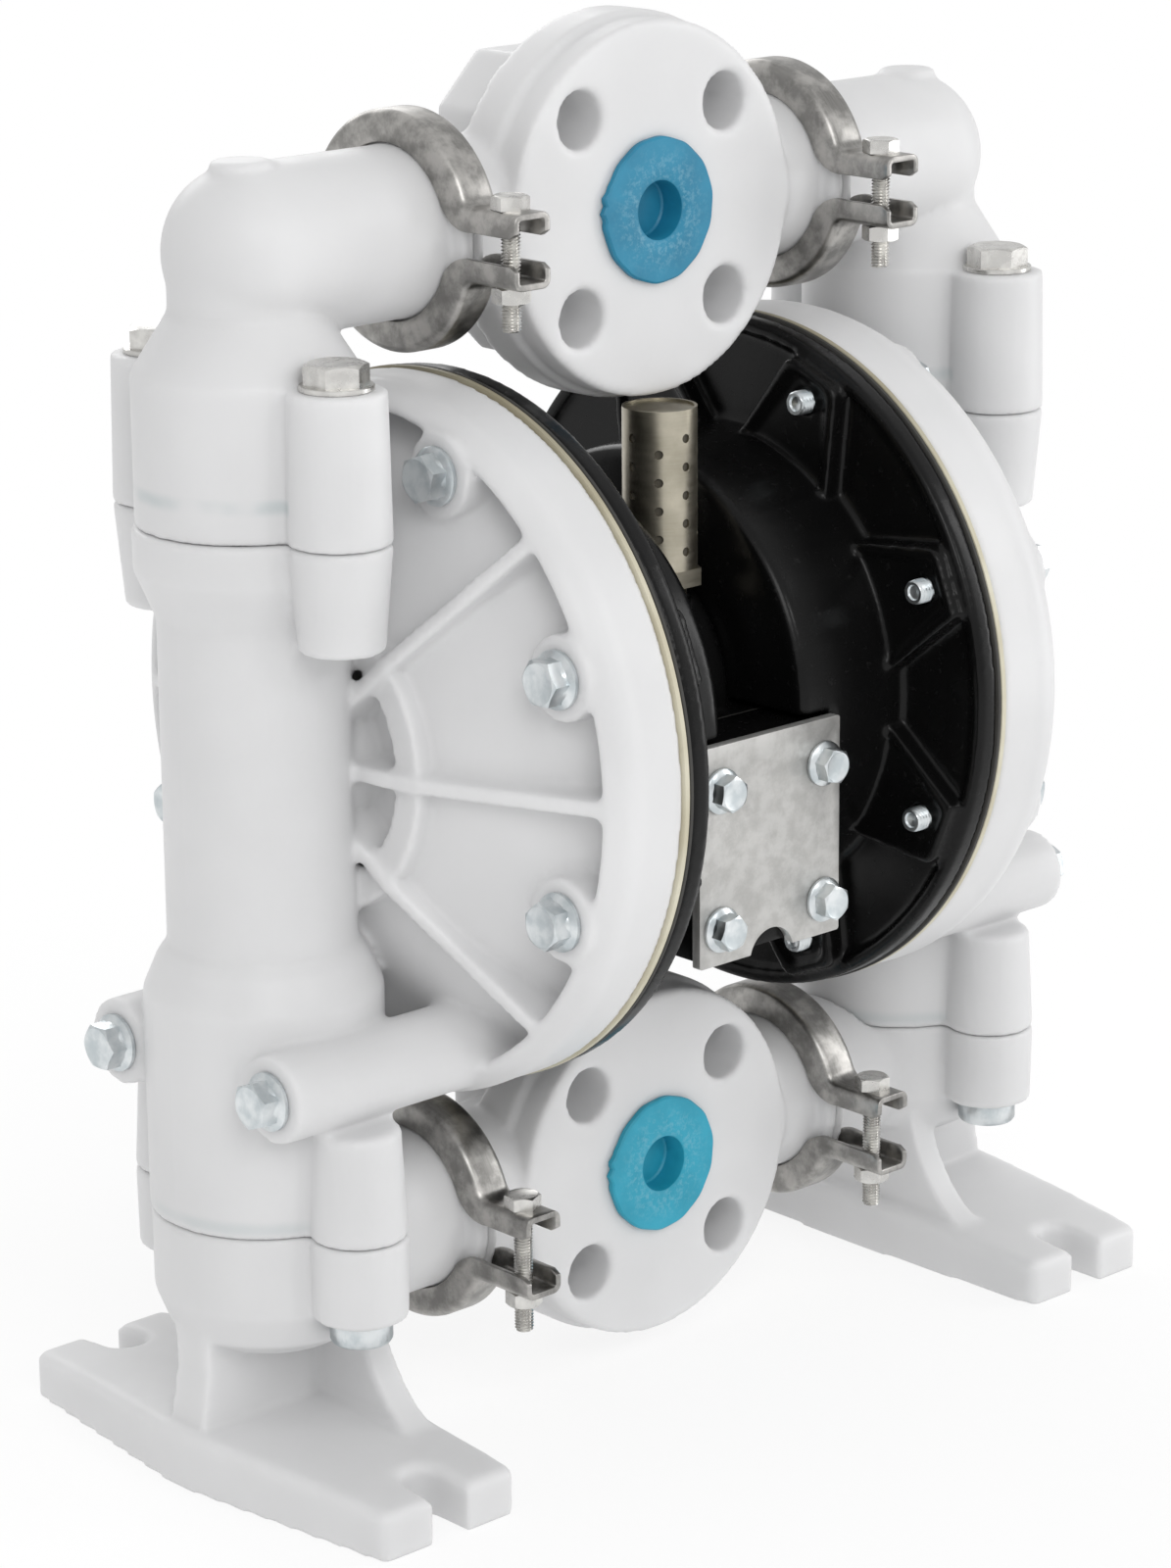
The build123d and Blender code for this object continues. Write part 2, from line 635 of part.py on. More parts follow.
def foot_outline():
    """Plan of a foot: narrow slotted ends and a waist that bulges under the column."""
    half = FOOT_HALF_LENGTH
    bend = FOOT_BEND_Y
    slot_x = (FOOT_END_INNER_X + FOOT_END_OUTER_X) / 2
    slot_r = FOOT_SLOT_WIDTH / 2
    with BuildSketch() as plan:
        with BuildLine():
            Polyline(
                (FOOT_END_INNER_X, half),
                (FOOT_END_OUTER_X, half),
                (FOOT_WAIST_OUTER_X, bend),
                (FOOT_WAIST_OUTER_X, -bend),
                (FOOT_END_OUTER_X, -half),
                (FOOT_END_INNER_X, -half),
                (FOOT_WAIST_INNER_X, -bend),
                (FOOT_WAIST_INNER_X, bend),
                close=True,
            )
        make_face()
        fillet(plan.vertices(), radius=4)
        for side in (-1, 1):
            with Locations((slot_x, side * (half - FOOT_SLOT_DEPTH + slot_r))):
                Circle(slot_r, mode=Mode.SUBTRACT)
            with Locations((slot_x, side * half)):
                Rectangle(FOOT_SLOT_WIDTH, 2 * (FOOT_SLOT_DEPTH - slot_r), mode=Mode.SUBTRACT)
    return plan.sketch


def foot_elbow():
    """Foot with the inlet elbow, its ribs and the slotted base."""
    with BuildPart() as foot:
        extrude(foot_outline(), amount=FOOT_MIDDLE_T)
        with BuildSketch(across(0, 0)):
            with BuildLine():
                Polyline(
                    (-FOOT_HALF_LENGTH, FOOT_T),
                    (-FOOT_HALF_LENGTH, 0),
                    (FOOT_HALF_LENGTH, 0),
                    (FOOT_HALF_LENGTH, FOOT_T),
                )
                ThreePointArc((-FOOT_HALF_LENGTH, FOOT_T), (0, FOOT_MIDDLE_T), (FOOT_HALF_LENGTH, FOOT_T))
            make_face()
        extrude(amount=2 * COLUMN_X, mode=Mode.INTERSECT)
        chamfer(foot.faces().sort_by(Axis.Z)[-1].edges(), length=2)
        body = column_profile([
            (0, FOOT_BODY_BOTTOM_Z),
            (0.6 * FOOT_BODY_R, FOOT_BODY_BOTTOM_Z + 1),
            (0.88 * FOOT_BODY_R, FOOT_BODY_BOTTOM_Z + 7),
            (FOOT_BODY_R, FOOT_BODY_BOTTOM_Z + 18),
            (FOOT_BODY_R, LOWER_JOINT_Z),
            (0, LOWER_JOINT_Z),
        ])
        revolve(body, axis=COLUMN)
        with BuildSketch(across(CLAMP_X, INLET_Z)):
            Circle(PIPE_R)
        extrude(amount=COLUMN_X - CLAMP_X)
        add(ferrule(INLET_Z, 1))
        for side in (-1, 1):
            with BuildSketch(Plane.XY.offset(LOWER_JOINT_Z)):
                with Locations((COLUMN_X, side * LOWER_BOLT_Y)):
                    Circle(LOWER_BOSS_R)
            extrude(amount=FOOT_BOSS_BOTTOM_Z - LOWER_JOINT_Z, taper=1)
        rib = profile(facing_front(0, 0), [
            (FOOT_END_INNER_X + 2, FOOT_T - 3),
            (FOOT_END_INNER_X + 4, INLET_Z),
            (COLUMN_X + FOOT_BODY_R - 3, INLET_Z),
            (COLUMN_X + FOOT_BODY_R - 4, 0.55 * INLET_Z),
            (COLUMN_X + FOOT_BODY_R, FOOT_T - 3),
        ])
        extrude(rib, amount=RIB_HALF, both=True)
        reach = FOOT_HALF_LENGTH - FOOT_SLOT_DEPTH
        with BuildSketch(across(FOOT_END_INNER_X + 2, 0)):
            with BuildLine():
                root_z = FOOT_T - 3
                neck = 0.42 * reach
                ThreePointArc((-reach, root_z), (-1.35 * neck, 1.9 * FOOT_T), (-neck, INLET_Z))
                Line((-neck, INLET_Z), (neck, INLET_Z))
                ThreePointArc((neck, INLET_Z), (1.35 * neck, 1.9 * FOOT_T), (reach, root_z))
                Line((reach, root_z), (-reach, root_z))
            make_face()
        extrude(amount=WEB_T)

        with BuildSketch(across(CLAMP_X, INLET_Z)):
            Circle(PIPE_BORE_R)
        extrude(amount=COLUMN_X - CLAMP_X, mode=Mode.SUBTRACT)
        with Locations((COLUMN_X, 0, INLET_Z)):
            Sphere(PIPE_BORE_R, mode=Mode.SUBTRACT)
        with BuildSketch(Plane.XY.offset(INLET_Z)):
            with Locations((COLUMN_X, 0)):
                Circle(PIPE_BORE_R)
        extrude(amount=LOWER_JOINT_Z - INLET_Z, mode=Mode.SUBTRACT)
        with BuildSketch(Plane.XY.offset(LOWER_JOINT_Z)):
            with Locations((COLUMN_X, 0)):
                Circle(SEAT_R + FIT)
        extrude(amount=-SEAT_HALF, mode=Mode.SUBTRACT)
        for side in (-1, 1):
            with BuildSketch(Plane.XY.offset(LOWER_JOINT_Z)):
                with Locations((COLUMN_X, side * LOWER_BOLT_Y)):
                    Circle(FOOT_SCREW_R + POCKET_GAP)
            extrude(amount=FOOT_BOSS_BOTTOM_Z - LOWER_JOINT_Z, mode=Mode.SUBTRACT)
            with BuildSketch(Plane.XY.offset(FOOT_BOSS_BOTTOM_Z)):
                with Locations((COLUMN_X, side * LOWER_BOLT_Y)):
                    Circle(FOOT_SCREW_HEAD_R + POCKET_GAP)
            extrude(amount=FOOT_MIDDLE_T - FOOT_BOSS_BOTTOM_Z, mode=Mode.SUBTRACT)
        with BuildSketch(Plane.XY.offset(LOWER_JOINT_Z)):
            with Locations((COLUMN_X, 0)):
                Circle(HOUSING_R + POCKET_GAP)
        extrude(amount=PIPE_R, mode=Mode.SUBTRACT)
    return foot.part


def foot_screws():
    """Knurled socket screws, up through the feet into the fluid caps."""
    with BuildPart() as screws:
        for x in (-COLUMN_X, COLUMN_X):
            for y in (-LOWER_BOLT_Y, LOWER_BOLT_Y):
                with BuildSketch(Plane.XY.offset(FOOT_BOSS_BOTTOM_Z)):
                    with Locations((x, y)):
                        Circle(FOOT_SCREW_HEAD_R)
                extrude(amount=-FOOT_SCREW_HEAD_T)
                with BuildSketch(Plane.XY.offset(FOOT_BOSS_BOTTOM_Z)):
                    with Locations((x, y)):
                        Circle(FOOT_SCREW_R)
                extrude(amount=LOWER_JOINT_Z - FOOT_BOSS_BOTTOM_Z + FOOT_SCREW_THREAD)
                with BuildSketch(Plane.XY.offset(FOOT_BOSS_BOTTOM_Z - FOOT_SCREW_HEAD_T)):
                    with Locations((x, y)):
                        RegularPolygon(FOOT_SCREW_R, 6)
                extrude(amount=FOOT_SCREW_HEAD_T / 2, mode=Mode.SUBTRACT)
    return screws.part


# ---- Manifold tees and their plugs ----------------------------------------
def manifold_tee(axis_z):
    """Cross pipe with a round port flange in front and a chamfered block behind."""
    with BuildPart() as tee:
        with BuildSketch(facing_front(PORT_FACE_Y, axis_z)):
            Circle(FLANGE_OUTER_R)
        extrude(amount=-FLANGE_T)
        with BuildSketch(facing_front(PORT_FACE_Y + FLANGE_T, axis_z)):
            Circle(SHOULDER_R)
        extrude(amount=-SHOULDER_T)
        with BuildSketch(facing_front(TEE_BLOCK_Y, axis_z)):
            block = Rectangle(2 * TEE_BLOCK_HALF_WIDTH, 2 * TEE_BLOCK_HALF_HEIGHT)
            chamfer(block.vertices(), length=TEE_BLOCK_CHAMFER)
        extrude(amount=TEE_BLOCK_Y - PORT_FACE_Y - FLANGE_T)
        with BuildSketch(across(-CLAMP_X, axis_z)):
            Circle(PIPE_R)
        extrude(amount=2 * CLAMP_X)
        add(ferrule(axis_z, -1))
        mirror(ferrule(axis_z, -1), about=Plane.YZ)
        with BuildSketch(across(-CLAMP_X, axis_z)):
            Circle(PIPE_BORE_R)
        extrude(amount=2 * CLAMP_X, mode=Mode.SUBTRACT)
        with BuildSketch(facing_front(PORT_FACE_Y, axis_z)):
            Circle(PORT_BORE_R)
        extrude(amount=PORT_FACE_Y, mode=Mode.SUBTRACT)
        with BuildSketch(facing_front(PORT_FACE_Y, axis_z)):
            with PolarLocations(PORT_BOLT_CIRCLE_R, 4, start_angle=45):
                Circle(PORT_BOLT_HOLE_R)
        extrude(amount=-PORT_BOLT_DEPTH, mode=Mode.SUBTRACT)
    return tee.part


def port_plug(axis_z):
    """Push-in plug that closes a port for shipping."""
    with BuildPart() as plug:
        with BuildSketch(facing_front(PORT_FACE_Y, axis_z)):
            Circle(PORT_PLUG_FLANGE_R)
        extrude(amount=PORT_PLUG_FLANGE_T)
        with BuildSketch(facing_front(PORT_FACE_Y, axis_z)):
            Circle(PORT_BORE_R - FIT)
        extrude(amount=-PORT_PLUG_DEPTH)
        with BuildSketch(facing_front(PORT_FACE_Y - PORT_PLUG_FLANGE_T, axis_z)):
            Circle(PORT_PLUG_WELL_R)
        extrude(amount=-PORT_PLUG_WELL_DEPTH, mode=Mode.SUBTRACT)
    return plug.part


# ---- Clamps ---------------------------------------------------------------
def clamp_half(axis_z, up, ear_open):
    """Half of a pressed channel clamp with an ear at front and back."""
    half = CLAMP_WIDTH / 2
    ear_z = ear_open - CLAMP_T
    inner_r = FERRULE_R + POCKET_GAP
    lip_r = PIPE_R + 1.5
    with BuildPart() as clamp:
        section = profile(Plane(origin=(CLAMP_X, 0, axis_z), x_dir=(1, 0, 0), z_dir=(0, -1, 0)), [
            (-half, lip_r),
            (-half, CLAMP_R),
            (half, CLAMP_R),
            (half, lip_r),
            (half - CLAMP_T, lip_r),
            (half - CLAMP_T, inner_r),
            (-half + CLAMP_T, inner_r),
            (-half + CLAMP_T, lip_r),
        ])
        revolve(section, axis=Axis((0, 0, axis_z), (1, 0, 0)))
        low_z = axis_z - CLAMP_R if up > 0 else axis_z - ear_z
        with BuildSketch(Plane.XY.offset(low_z)):
            with Locations((CLAMP_X, 0)):
                Rectangle(2 * CLAMP_WIDTH, 3 * CLAMP_R)
        extrude(amount=CLAMP_R + ear_z, mode=Mode.SUBTRACT)
        for side in (-1, 1):
            inside_y = sqrt(inner_r**2 - ear_z**2)
            reach = CLAMP_EAR_Y - inside_y
            with BuildSketch(Plane.XY.offset(axis_z + up * ear_z)):
                with Locations((CLAMP_X, side * (inside_y + reach / 2))):
                    Rectangle(CLAMP_WIDTH, reach)
            extrude(amount=up * CLAMP_T)
            wing = CLAMP_EAR_Y - CLAMP_R
            with BuildSketch(Plane.XY.offset(axis_z + up * ear_open)):
                with Locations((CLAMP_X, side * (CLAMP_R + wing / 2))):
                    with GridLocations(CLAMP_WIDTH - CLAMP_T, 0.1, 2, 1):
                        Rectangle(CLAMP_T, wing)
            extrude(amount=-up * EAR_FLANGE)
            with BuildSketch(Plane.XY.offset(axis_z)):
                with Locations((CLAMP_X, side * CLAMP_BOLT_Y)):
                    Circle(CLAMP_BOLT_R + POCKET_GAP)
            extrude(amount=up * CLAMP_R, mode=Mode.SUBTRACT)
    return clamp.part


def clamp_sites():
    """Every clamp bolt as (x, y, pipe axis height, lower ear face below the axis)."""
    heights = ((OUTLET_Z, EAR_OPEN), (INLET_Z, EAR_OPEN_LOW))
    sides = [(x, y) for x in (-CLAMP_X, CLAMP_X) for y in (-CLAMP_BOLT_Y, CLAMP_BOLT_Y)]
    return [(x, y, z, low) for z, low in heights for x, y in sides]


def clamp_bolts():
    """Hexagon bolts through the ears of all four clamps."""
    with BuildPart() as bolts:
        for x, y, axis_z, low in clamp_sites():
            end_z = axis_z - low - CLAMP_NUT_T - CLAMP_BOLT_TAIL
            with BuildSketch(Plane.XY.offset(end_z)):
                with Locations((x, y)):
                    Circle(CLAMP_BOLT_R)
            extrude(amount=axis_z + EAR_OPEN - end_z)
            with BuildSketch(Plane.XY.offset(axis_z + EAR_OPEN)):
                with Locations((x, y)):
                    RegularPolygon(CLAMP_HEX_AF / 2, 6, major_radius=False)
            extrude(amount=CLAMP_HEAD_T)
    return bolts.part


def clamp_nuts():
    """Nuts under the clamp bolts."""
    with BuildPart() as nuts:
        for x, y, axis_z, low in clamp_sites():
            with BuildSketch(Plane.XY.offset(axis_z - low)):
                with Locations((x, y)):
                    RegularPolygon(CLAMP_HEX_AF / 2, 6, major_radius=False)
                    Circle(CLAMP_BOLT_R + FIT, mode=Mode.SUBTRACT)
            extrude(amount=-CLAMP_NUT_T)
    return nuts.part


# ---- Air side -------------------------------------------------------------
def stud_pad(x, angle, inset):
    """Outline at x of the raised pad round one stud, narrower towards the rim."""
    tip_r = RIM_R - AIR_LIP_T + 1.5 - inset
    root = PAD_ROOT_ANGLE - 0.7 * inset
    tip = PAD_TIP_ANGLE - 0.5 * inset
    with BuildSketch(across(x)) as pad:
        with BuildLine():
            Polyline(
                polar(HUB_R - 3, angle - root),
                polar(tip_r, angle - tip),
                polar(tip_r, angle + tip),
                polar(HUB_R - 3, angle + root),
                close=True,
            )
        make_face()
        fillet(pad.vertices().sort_by(lambda v: (v.Y**2 + (v.Z - ROD_Z) ** 2))[-2:], radius=5)
    return pad.sketch


def block_pocket(part_gap):
    """Space for the valve block and its pedestal in the air caps."""
    with BuildPart() as pocket:
        with BuildSketch(Plane.XY.offset(BLOCK_BOTTOM_Z - part_gap)):
            with Locations((0, PEDESTAL_Y - BLOCK_DEPTH / 2)):
                Rectangle(BLOCK_WIDTH + 2 * part_gap, 2 * BLOCK_DEPTH + 2 * POCKET_GAP)
        extrude(amount=BLOCK_TOP_Z - BLOCK_BOTTOM_Z + 2 * part_gap)
    return pocket.part


def air_cap():
    """Black cap behind the diaphragm: rim, stud pads, hub and air chamber."""
    rim_x = AIR_FACE_X - AIR_RIM_T
    pocket_x = rim_x + POCKET_DEPTH
    pad_x = AIR_FACE_X - PAD_T
    rim_inner_r = RIM_R - AIR_LIP_T
    with BuildPart() as cap:
        outside = rod_profile([
            (AIR_FACE_X, SPIGOT_R),
            (AIR_FACE_X, RIM_R),
            (rim_x + 1, RIM_R),
            (rim_x, RIM_R - 1),
            (rim_x, rim_inner_r + 1),
            (pocket_x, rim_inner_r),
            (pocket_x, HUB_R + 1.5),
            (pocket_x - 1.5, HUB_R),
            (CENTRE_HALF + 3, HUB_R - 2),
            (CENTRE_HALF + 0.9, HUB_R - 2.9),
            (CENTRE_HALF, HUB_R - 5),
            (CENTRE_HALF, SPIGOT_R),
        ])
        revolve(outside, axis=ROD)
        for angle in BOLT_ANGLES:
            extrude(stud_pad(pad_x - PAD_RIB, angle, 0), amount=PAD_T + PAD_RIB - 1, dir=(1, 0, 0))
            inside = stud_pad(pad_x, angle, PAD_RIB_WIDTH)
            extrude(inside, amount=PAD_RIB + 1, dir=(-1, 0, 0), mode=Mode.SUBTRACT)
        hub = rod_profile([
            (CENTRE_HALF + 3, HUB_R - 4),
            (CENTRE_HALF + 3, HUB_R - 2),
            (pocket_x, HUB_R),
            (pocket_x, HUB_R - 4),
        ])
        revolve(hub, axis=ROD)
        chamber = rod_profile([
            (AIR_FACE_X, 0),
            (AIR_FACE_X, AIR_CHAMBER_R),
            (AIR_FACE_X - 1, AIR_CHAMBER_R - 8),
            (AIR_FACE_X - 5.5, HUB_R - 6),
            (AIR_FLOOR_X + 2, HUB_R - 12),
            (AIR_FLOOR_X, HUB_R - 16),
            (AIR_FLOOR_X, 0),
        ])
        revolve(chamber, axis=ROD, mode=Mode.SUBTRACT)
        add(block_pocket(1.5), mode=Mode.SUBTRACT)
        for angle in BOLT_ANGLES:
            with BuildSketch(across(pad_x - PAD_RIB)):
                with Locations(polar(BOLT_CIRCLE_R, angle)):
                    Circle(BOLT_R + FIT)
            extrude(amount=PAD_T + PAD_RIB, mode=Mode.SUBTRACT)
    return cap.part


def centre_body():
    """Middle housing: rod bearing, spigots, valve pedestal and air inlet boss."""
    neck_r = CENTRE_R - 6
    with BuildPart() as body:
        middle = rod_profile([
            (0, 0),
            (-AIR_FLOOR_X, 0),
            (-AIR_FLOOR_X, SPIGOT_R - FIT),
            (-CENTRE_HALF, SPIGOT_R - FIT),
            (-CENTRE_HALF, neck_r),
            (-CENTRE_RIM_HALF, neck_r),
            (-CENTRE_RIM_HALF, CENTRE_R - 2),
            (-CENTRE_RIM_HALF + 2, CENTRE_R),
            (CENTRE_RIM_HALF - 2, CENTRE_R),
            (CENTRE_RIM_HALF, CENTRE_R - 2),
            (CENTRE_RIM_HALF, neck_r),
            (CENTRE_HALF, neck_r),
            (CENTRE_HALF, SPIGOT_R - FIT),
            (AIR_FLOOR_X, SPIGOT_R - FIT),
            (AIR_FLOOR_X, 0),
        ])
        revolve(middle, axis=ROD)
        with BuildSketch(facing_front(PEDESTAL_Y, 0)):
            with Locations((0, (BLOCK_BOTTOM_Z + BLOCK_TOP_Z) / 2)):
                Rectangle(2 * CENTRE_HALF, BLOCK_TOP_Z - BLOCK_BOTTOM_Z)
        extrude(amount=PEDESTAL_Y + ROD_R * 2)
        with BuildSketch(facing_front(PEDESTAL_Y, 0)):
            with Locations((0, (BLOCK_BOTTOM_Z + BLOCK_TOP_Z) / 2)):
                Rectangle(BLOCK_WIDTH, BLOCK_TOP_Z - BLOCK_BOTTOM_Z)
        extrude(amount=-BLOCK_DEPTH / 2)
        with BuildSketch(facing_front(AIR_INLET_Y, ROD_Z)):
            Circle(INLET_BOSS_R)
        extrude(amount=AIR_INLET_Y - ROD_R * 2)

        with BuildSketch(across(-AIR_FLOOR_X)):
            Circle(ROD_R + 1)
        extrude(amount=2 * AIR_FLOOR_X, mode=Mode.SUBTRACT)
        for side in (-1, 1):
            with BuildSketch(across(side * AIR_FLOOR_X)):
                Circle(ROD_R + FIT + BUSH_T)
            extrude(amount=-side * (BUSH_LENGTH + SEAL_WIDTH), mode=Mode.SUBTRACT)
        with BuildSketch(facing_front(AIR_INLET_Y, ROD_Z)):
            Circle(AIR_INLET_R)
        extrude(amount=AIR_INLET_DEPTH, mode=Mode.SUBTRACT)
        with BuildSketch(muffler_plane(0)):
            Circle(MUFFLER_R + 2)
        extrude(amount=MUFFLER_R, mode=Mode.SUBTRACT)
        with BuildSketch(muffler_plane(0)):
            Circle(NECK_R + FIT)
        extrude(amount=-NIPPLE_ROOT, mode=Mode.SUBTRACT)
    return body.part


def front_rectangle(y, width, bottom_z, top_z, x=0):
    """Upright rectangle square to Y, as the valve block and its gasket and plate have."""
    with BuildSketch(facing_front(y, (bottom_z + top_z) / 2)) as face:
        with Locations((x, 0)):
            Rectangle(width, top_z - bottom_z)
    return face.sketch


def plate_bolt_points(y):
    """Plane of the plate bolts' middle with their grid."""
    return facing_front(y, (BLOCK_BOTTOM_Z + BLOCK_TOP_Z) / 2 - 1.5)


def valve_gasket():
    """Flat gasket between the valve block and the centre body."""
    with BuildPart() as gasket:
        face = front_rectangle(PEDESTAL_Y, BLOCK_WIDTH, BLOCK_BOTTOM_Z, BLOCK_TOP_Z)
        extrude(face, amount=GASKET_T)
        with BuildSketch(plate_bolt_points(PEDESTAL_Y)):
            with GridLocations(2 * PLATE_BOLT_X, 2 * PLATE_BOLT_Z, 2, 2):
                Circle(PLATE_BOLT_R + POCKET_GAP)
        extrude(amount=GASKET_T, mode=Mode.SUBTRACT)
    return gasket.part


def spool_axis_y():
    return PEDESTAL_Y - GASKET_T - BLOCK_DEPTH / 2


def valve_block():
    """Air valve housing with the spool bore across it."""
    back_y = PEDESTAL_Y - GASKET_T
    middle_z = (BLOCK_BOTTOM_Z + BLOCK_TOP_Z) / 2
    with BuildPart() as block:
        extrude(front_rectangle(back_y, BLOCK_WIDTH, BLOCK_BOTTOM_Z, BLOCK_TOP_Z), amount=BLOCK_DEPTH)
        with BuildSketch(across(-BLOCK_WIDTH / 2, middle_z)):
            with Locations((spool_axis_y(), 0)):
                Circle(SPOOL_R + FIT)
        extrude(amount=BLOCK_WIDTH, mode=Mode.SUBTRACT)
        with BuildSketch(plate_bolt_points(back_y)):
            with GridLocations(2 * PLATE_BOLT_X, 2 * PLATE_BOLT_Z, 2, 2):
                Circle(PLATE_BOLT_R + POCKET_GAP)
        extrude(amount=BLOCK_DEPTH, mode=Mode.SUBTRACT)
        with BuildSketch(facing_front(back_y, middle_z)):
            with GridLocations(SPOOL_LENGTH / 3, 1, 3, 1):
                Circle(PORT_R)
        extrude(amount=BLOCK_DEPTH / 2, mode=Mode.SUBTRACT)
    return block.part


def valve_spool():
    """Three-land spool that slides along the rod's direction."""
    land = SPOOL_LENGTH / 5
    waist = SPOOL_R - SPOOL_GROOVE
    half = SPOOL_LENGTH / 2
    middle_z = (BLOCK_BOTTOM_Z + BLOCK_TOP_Z) / 2
    with BuildPart() as spool:
        section = profile(facing_front(spool_axis_y(), middle_z), [
            (-half, 0),
            (-half, SPOOL_R),
            (-half + land, SPOOL_R),
            (-half + land, waist),
            (-land / 2, waist),
            (-land / 2, SPOOL_R),
            (land / 2, SPOOL_R),
            (land / 2, waist),
            (half - land, waist),
            (half - land, SPOOL_R),
            (half, SPOOL_R),
            (half, 0),
        ])
        revolve(section, axis=Axis((0, spool_axis_y(), middle_z), (1, 0, 0)))
    return spool.part


def spool_end_cap():
    """Plug that closes one end of the spool bore."""
    middle_z = (BLOCK_BOTTOM_Z + BLOCK_TOP_Z) / 2
    with BuildPart() as plug:
        with BuildSketch(across(BLOCK_WIDTH / 2, middle_z)):
            with Locations((spool_axis_y(), 0)):
                Circle(SPOOL_R)
        extrude(amount=-END_CAP_T)
    return plug.part


def cover_plate():
    """Steel plate over the valve block, notched at its lower edge."""
    face_y = PEDESTAL_Y - GASKET_T - BLOCK_DEPTH
    bottom_z = BLOCK_TOP_Z + 1 - PLATE_HEIGHT
    with BuildPart() as plate:
        face = front_rectangle(face_y, PLATE_WIDTH, bottom_z, BLOCK_TOP_Z + 1, PLATE_X)
        extrude(face, amount=PLATE_T)
        fillet(plate.edges().filter_by(Axis.Y), radius=1)
        with BuildSketch(facing_front(face_y, bottom_z - 2.4)):
            Circle(NOTCH_R)
        extrude(amount=PLATE_T, mode=Mode.SUBTRACT)
        with BuildSketch(plate_bolt_points(face_y)):
            with GridLocations(2 * PLATE_BOLT_X, 2 * PLATE_BOLT_Z, 2, 2):
                Circle(PLATE_BOLT_R + POCKET_GAP)
        extrude(amount=PLATE_T, mode=Mode.SUBTRACT)
    return plate.part


def cover_bolts():
    """Four flange bolts through the cover plate and valve block."""
    head_y = PEDESTAL_Y - GASKET_T - BLOCK_DEPTH - PLATE_T
    with BuildPart() as bolts:
        with BuildSketch(plate_bolt_points(head_y)):
            with GridLocations(2 * PLATE_BOLT_X, 2 * PLATE_BOLT_Z, 2, 2):
                Circle(PLATE_BOLT_R)
        extrude(amount=-(PLATE_T + BLOCK_DEPTH + GASKET_T))
        with BuildSketch(plate_bolt_points(head_y)):
            with GridLocations(2 * PLATE_BOLT_X, 2 * PLATE_BOLT_Z, 2, 2):
                Circle(2.37 * PLATE_BOLT_R)
        extrude(amount=0.45 * PLATE_BOLT_R, taper=12)
        with BuildSketch(plate_bolt_points(head_y)):
            with GridLocations(2 * PLATE_BOLT_X, 2 * PLATE_BOLT_Z, 2, 2):
                RegularPolygon(1.67 * PLATE_BOLT_R, 6, major_radius=False)
        extrude(amount=2.1 * PLATE_BOLT_R)
    return bolts.part


# ---- Diaphragms, rod and plates -------------------------------------------
def diaphragm(x, thickness):
    """Moulded disc, clamped at its rim and between the plates, with a rolled fold."""
    fold_in = INNER_PLATE_R + 4
    fold_out = AIR_CHAMBER_R - 8
    fold = (fold_in + fold_out) / 2
    with BuildPart() as disc:
        section = rod_profile([
            (x, STUD_R + FIT),
            (x, fold_in),
            (x - FOLD_DEPTH, fold - 5),
            (x - FOLD_DEPTH, fold + 5),
            (x, fold_out),
            (x, RIM_R + 0.5),
            (x + thickness, RIM_R + 0.5),
            (x + thickness, fold_out),
            (x + thickness - FOLD_DEPTH, fold + 5),
            (x + thickness - FOLD_DEPTH, fold - 5),
            (x + thickness, fold_in),
            (x + thickness, STUD_R + FIT),
        ])
        revolve(section, axis=ROD)
        for angle in BOLT_ANGLES:
            with BuildSketch(across(x)):
                with Locations(polar(BOLT_CIRCLE_R, angle)):
                    Circle(BOLT_HOLE_R)
            extrude(amount=thickness, mode=Mode.SUBTRACT)
    return disc.part


def inner_plate():
    """Metal disc between the rod's shoulder and the diaphragm."""
    with BuildPart() as plate:
        section = rod_profile([
            (AIR_FACE_X, STUD_R + FIT),
            (AIR_FACE_X, INNER_PLATE_R - 1),
            (AIR_FACE_X - 1, INNER_PLATE_R),
            (AIR_FACE_X - 2.5, INNER_PLATE_R),
            (AIR_FACE_X - INNER_PLATE_T, INNER_PLATE_R - 12),
            (AIR_FACE_X - INNER_PLATE_T, STUD_R + FIT),
        ])
        revolve(section, axis=ROD)
    return plate.part


def outer_plate():
    """Domed plastic disc on the wet side, screwed on to the rod's stud."""
    top_x = CAP_FACE_X + OUTER_PLATE_T
    with BuildPart() as plate:
        section = rod_profile([
            (CAP_FACE_X, 0),
            (CAP_FACE_X, OUTER_PLATE_R - 1),
            (CAP_FACE_X + 1, OUTER_PLATE_R),
            (CAP_FACE_X + 3, OUTER_PLATE_R),
            (top_x - 3, 0.55 * OUTER_PLATE_R),
            (top_x, 0.3 * OUTER_PLATE_R),
            (top_x, 0),
        ])
        revolve(section, axis=ROD)
        with BuildSketch(across(CAP_FACE_X)):
            Circle(STUD_R + FIT)
        extrude(amount=OUTER_PLATE_T - 3, mode=Mode.SUBTRACT)
    return plate.part


def diaphragm_rod():
    """Rod with a threaded stud on each end."""
    shoulder_x = AIR_FACE_X - INNER_PLATE_T
    stud_x = CAP_FACE_X + OUTER_PLATE_T - 4
    with BuildPart() as rod:
        section = rod_profile([
            (-stud_x, 0),
            (-stud_x, STUD_R),
            (-shoulder_x, STUD_R),
            (-shoulder_x, ROD_R),
            (shoulder_x, ROD_R),
            (shoulder_x, STUD_R),
            (stud_x, STUD_R),
            (stud_x, 0),
        ])
        revolve(section, axis=ROD)
    return rod.part


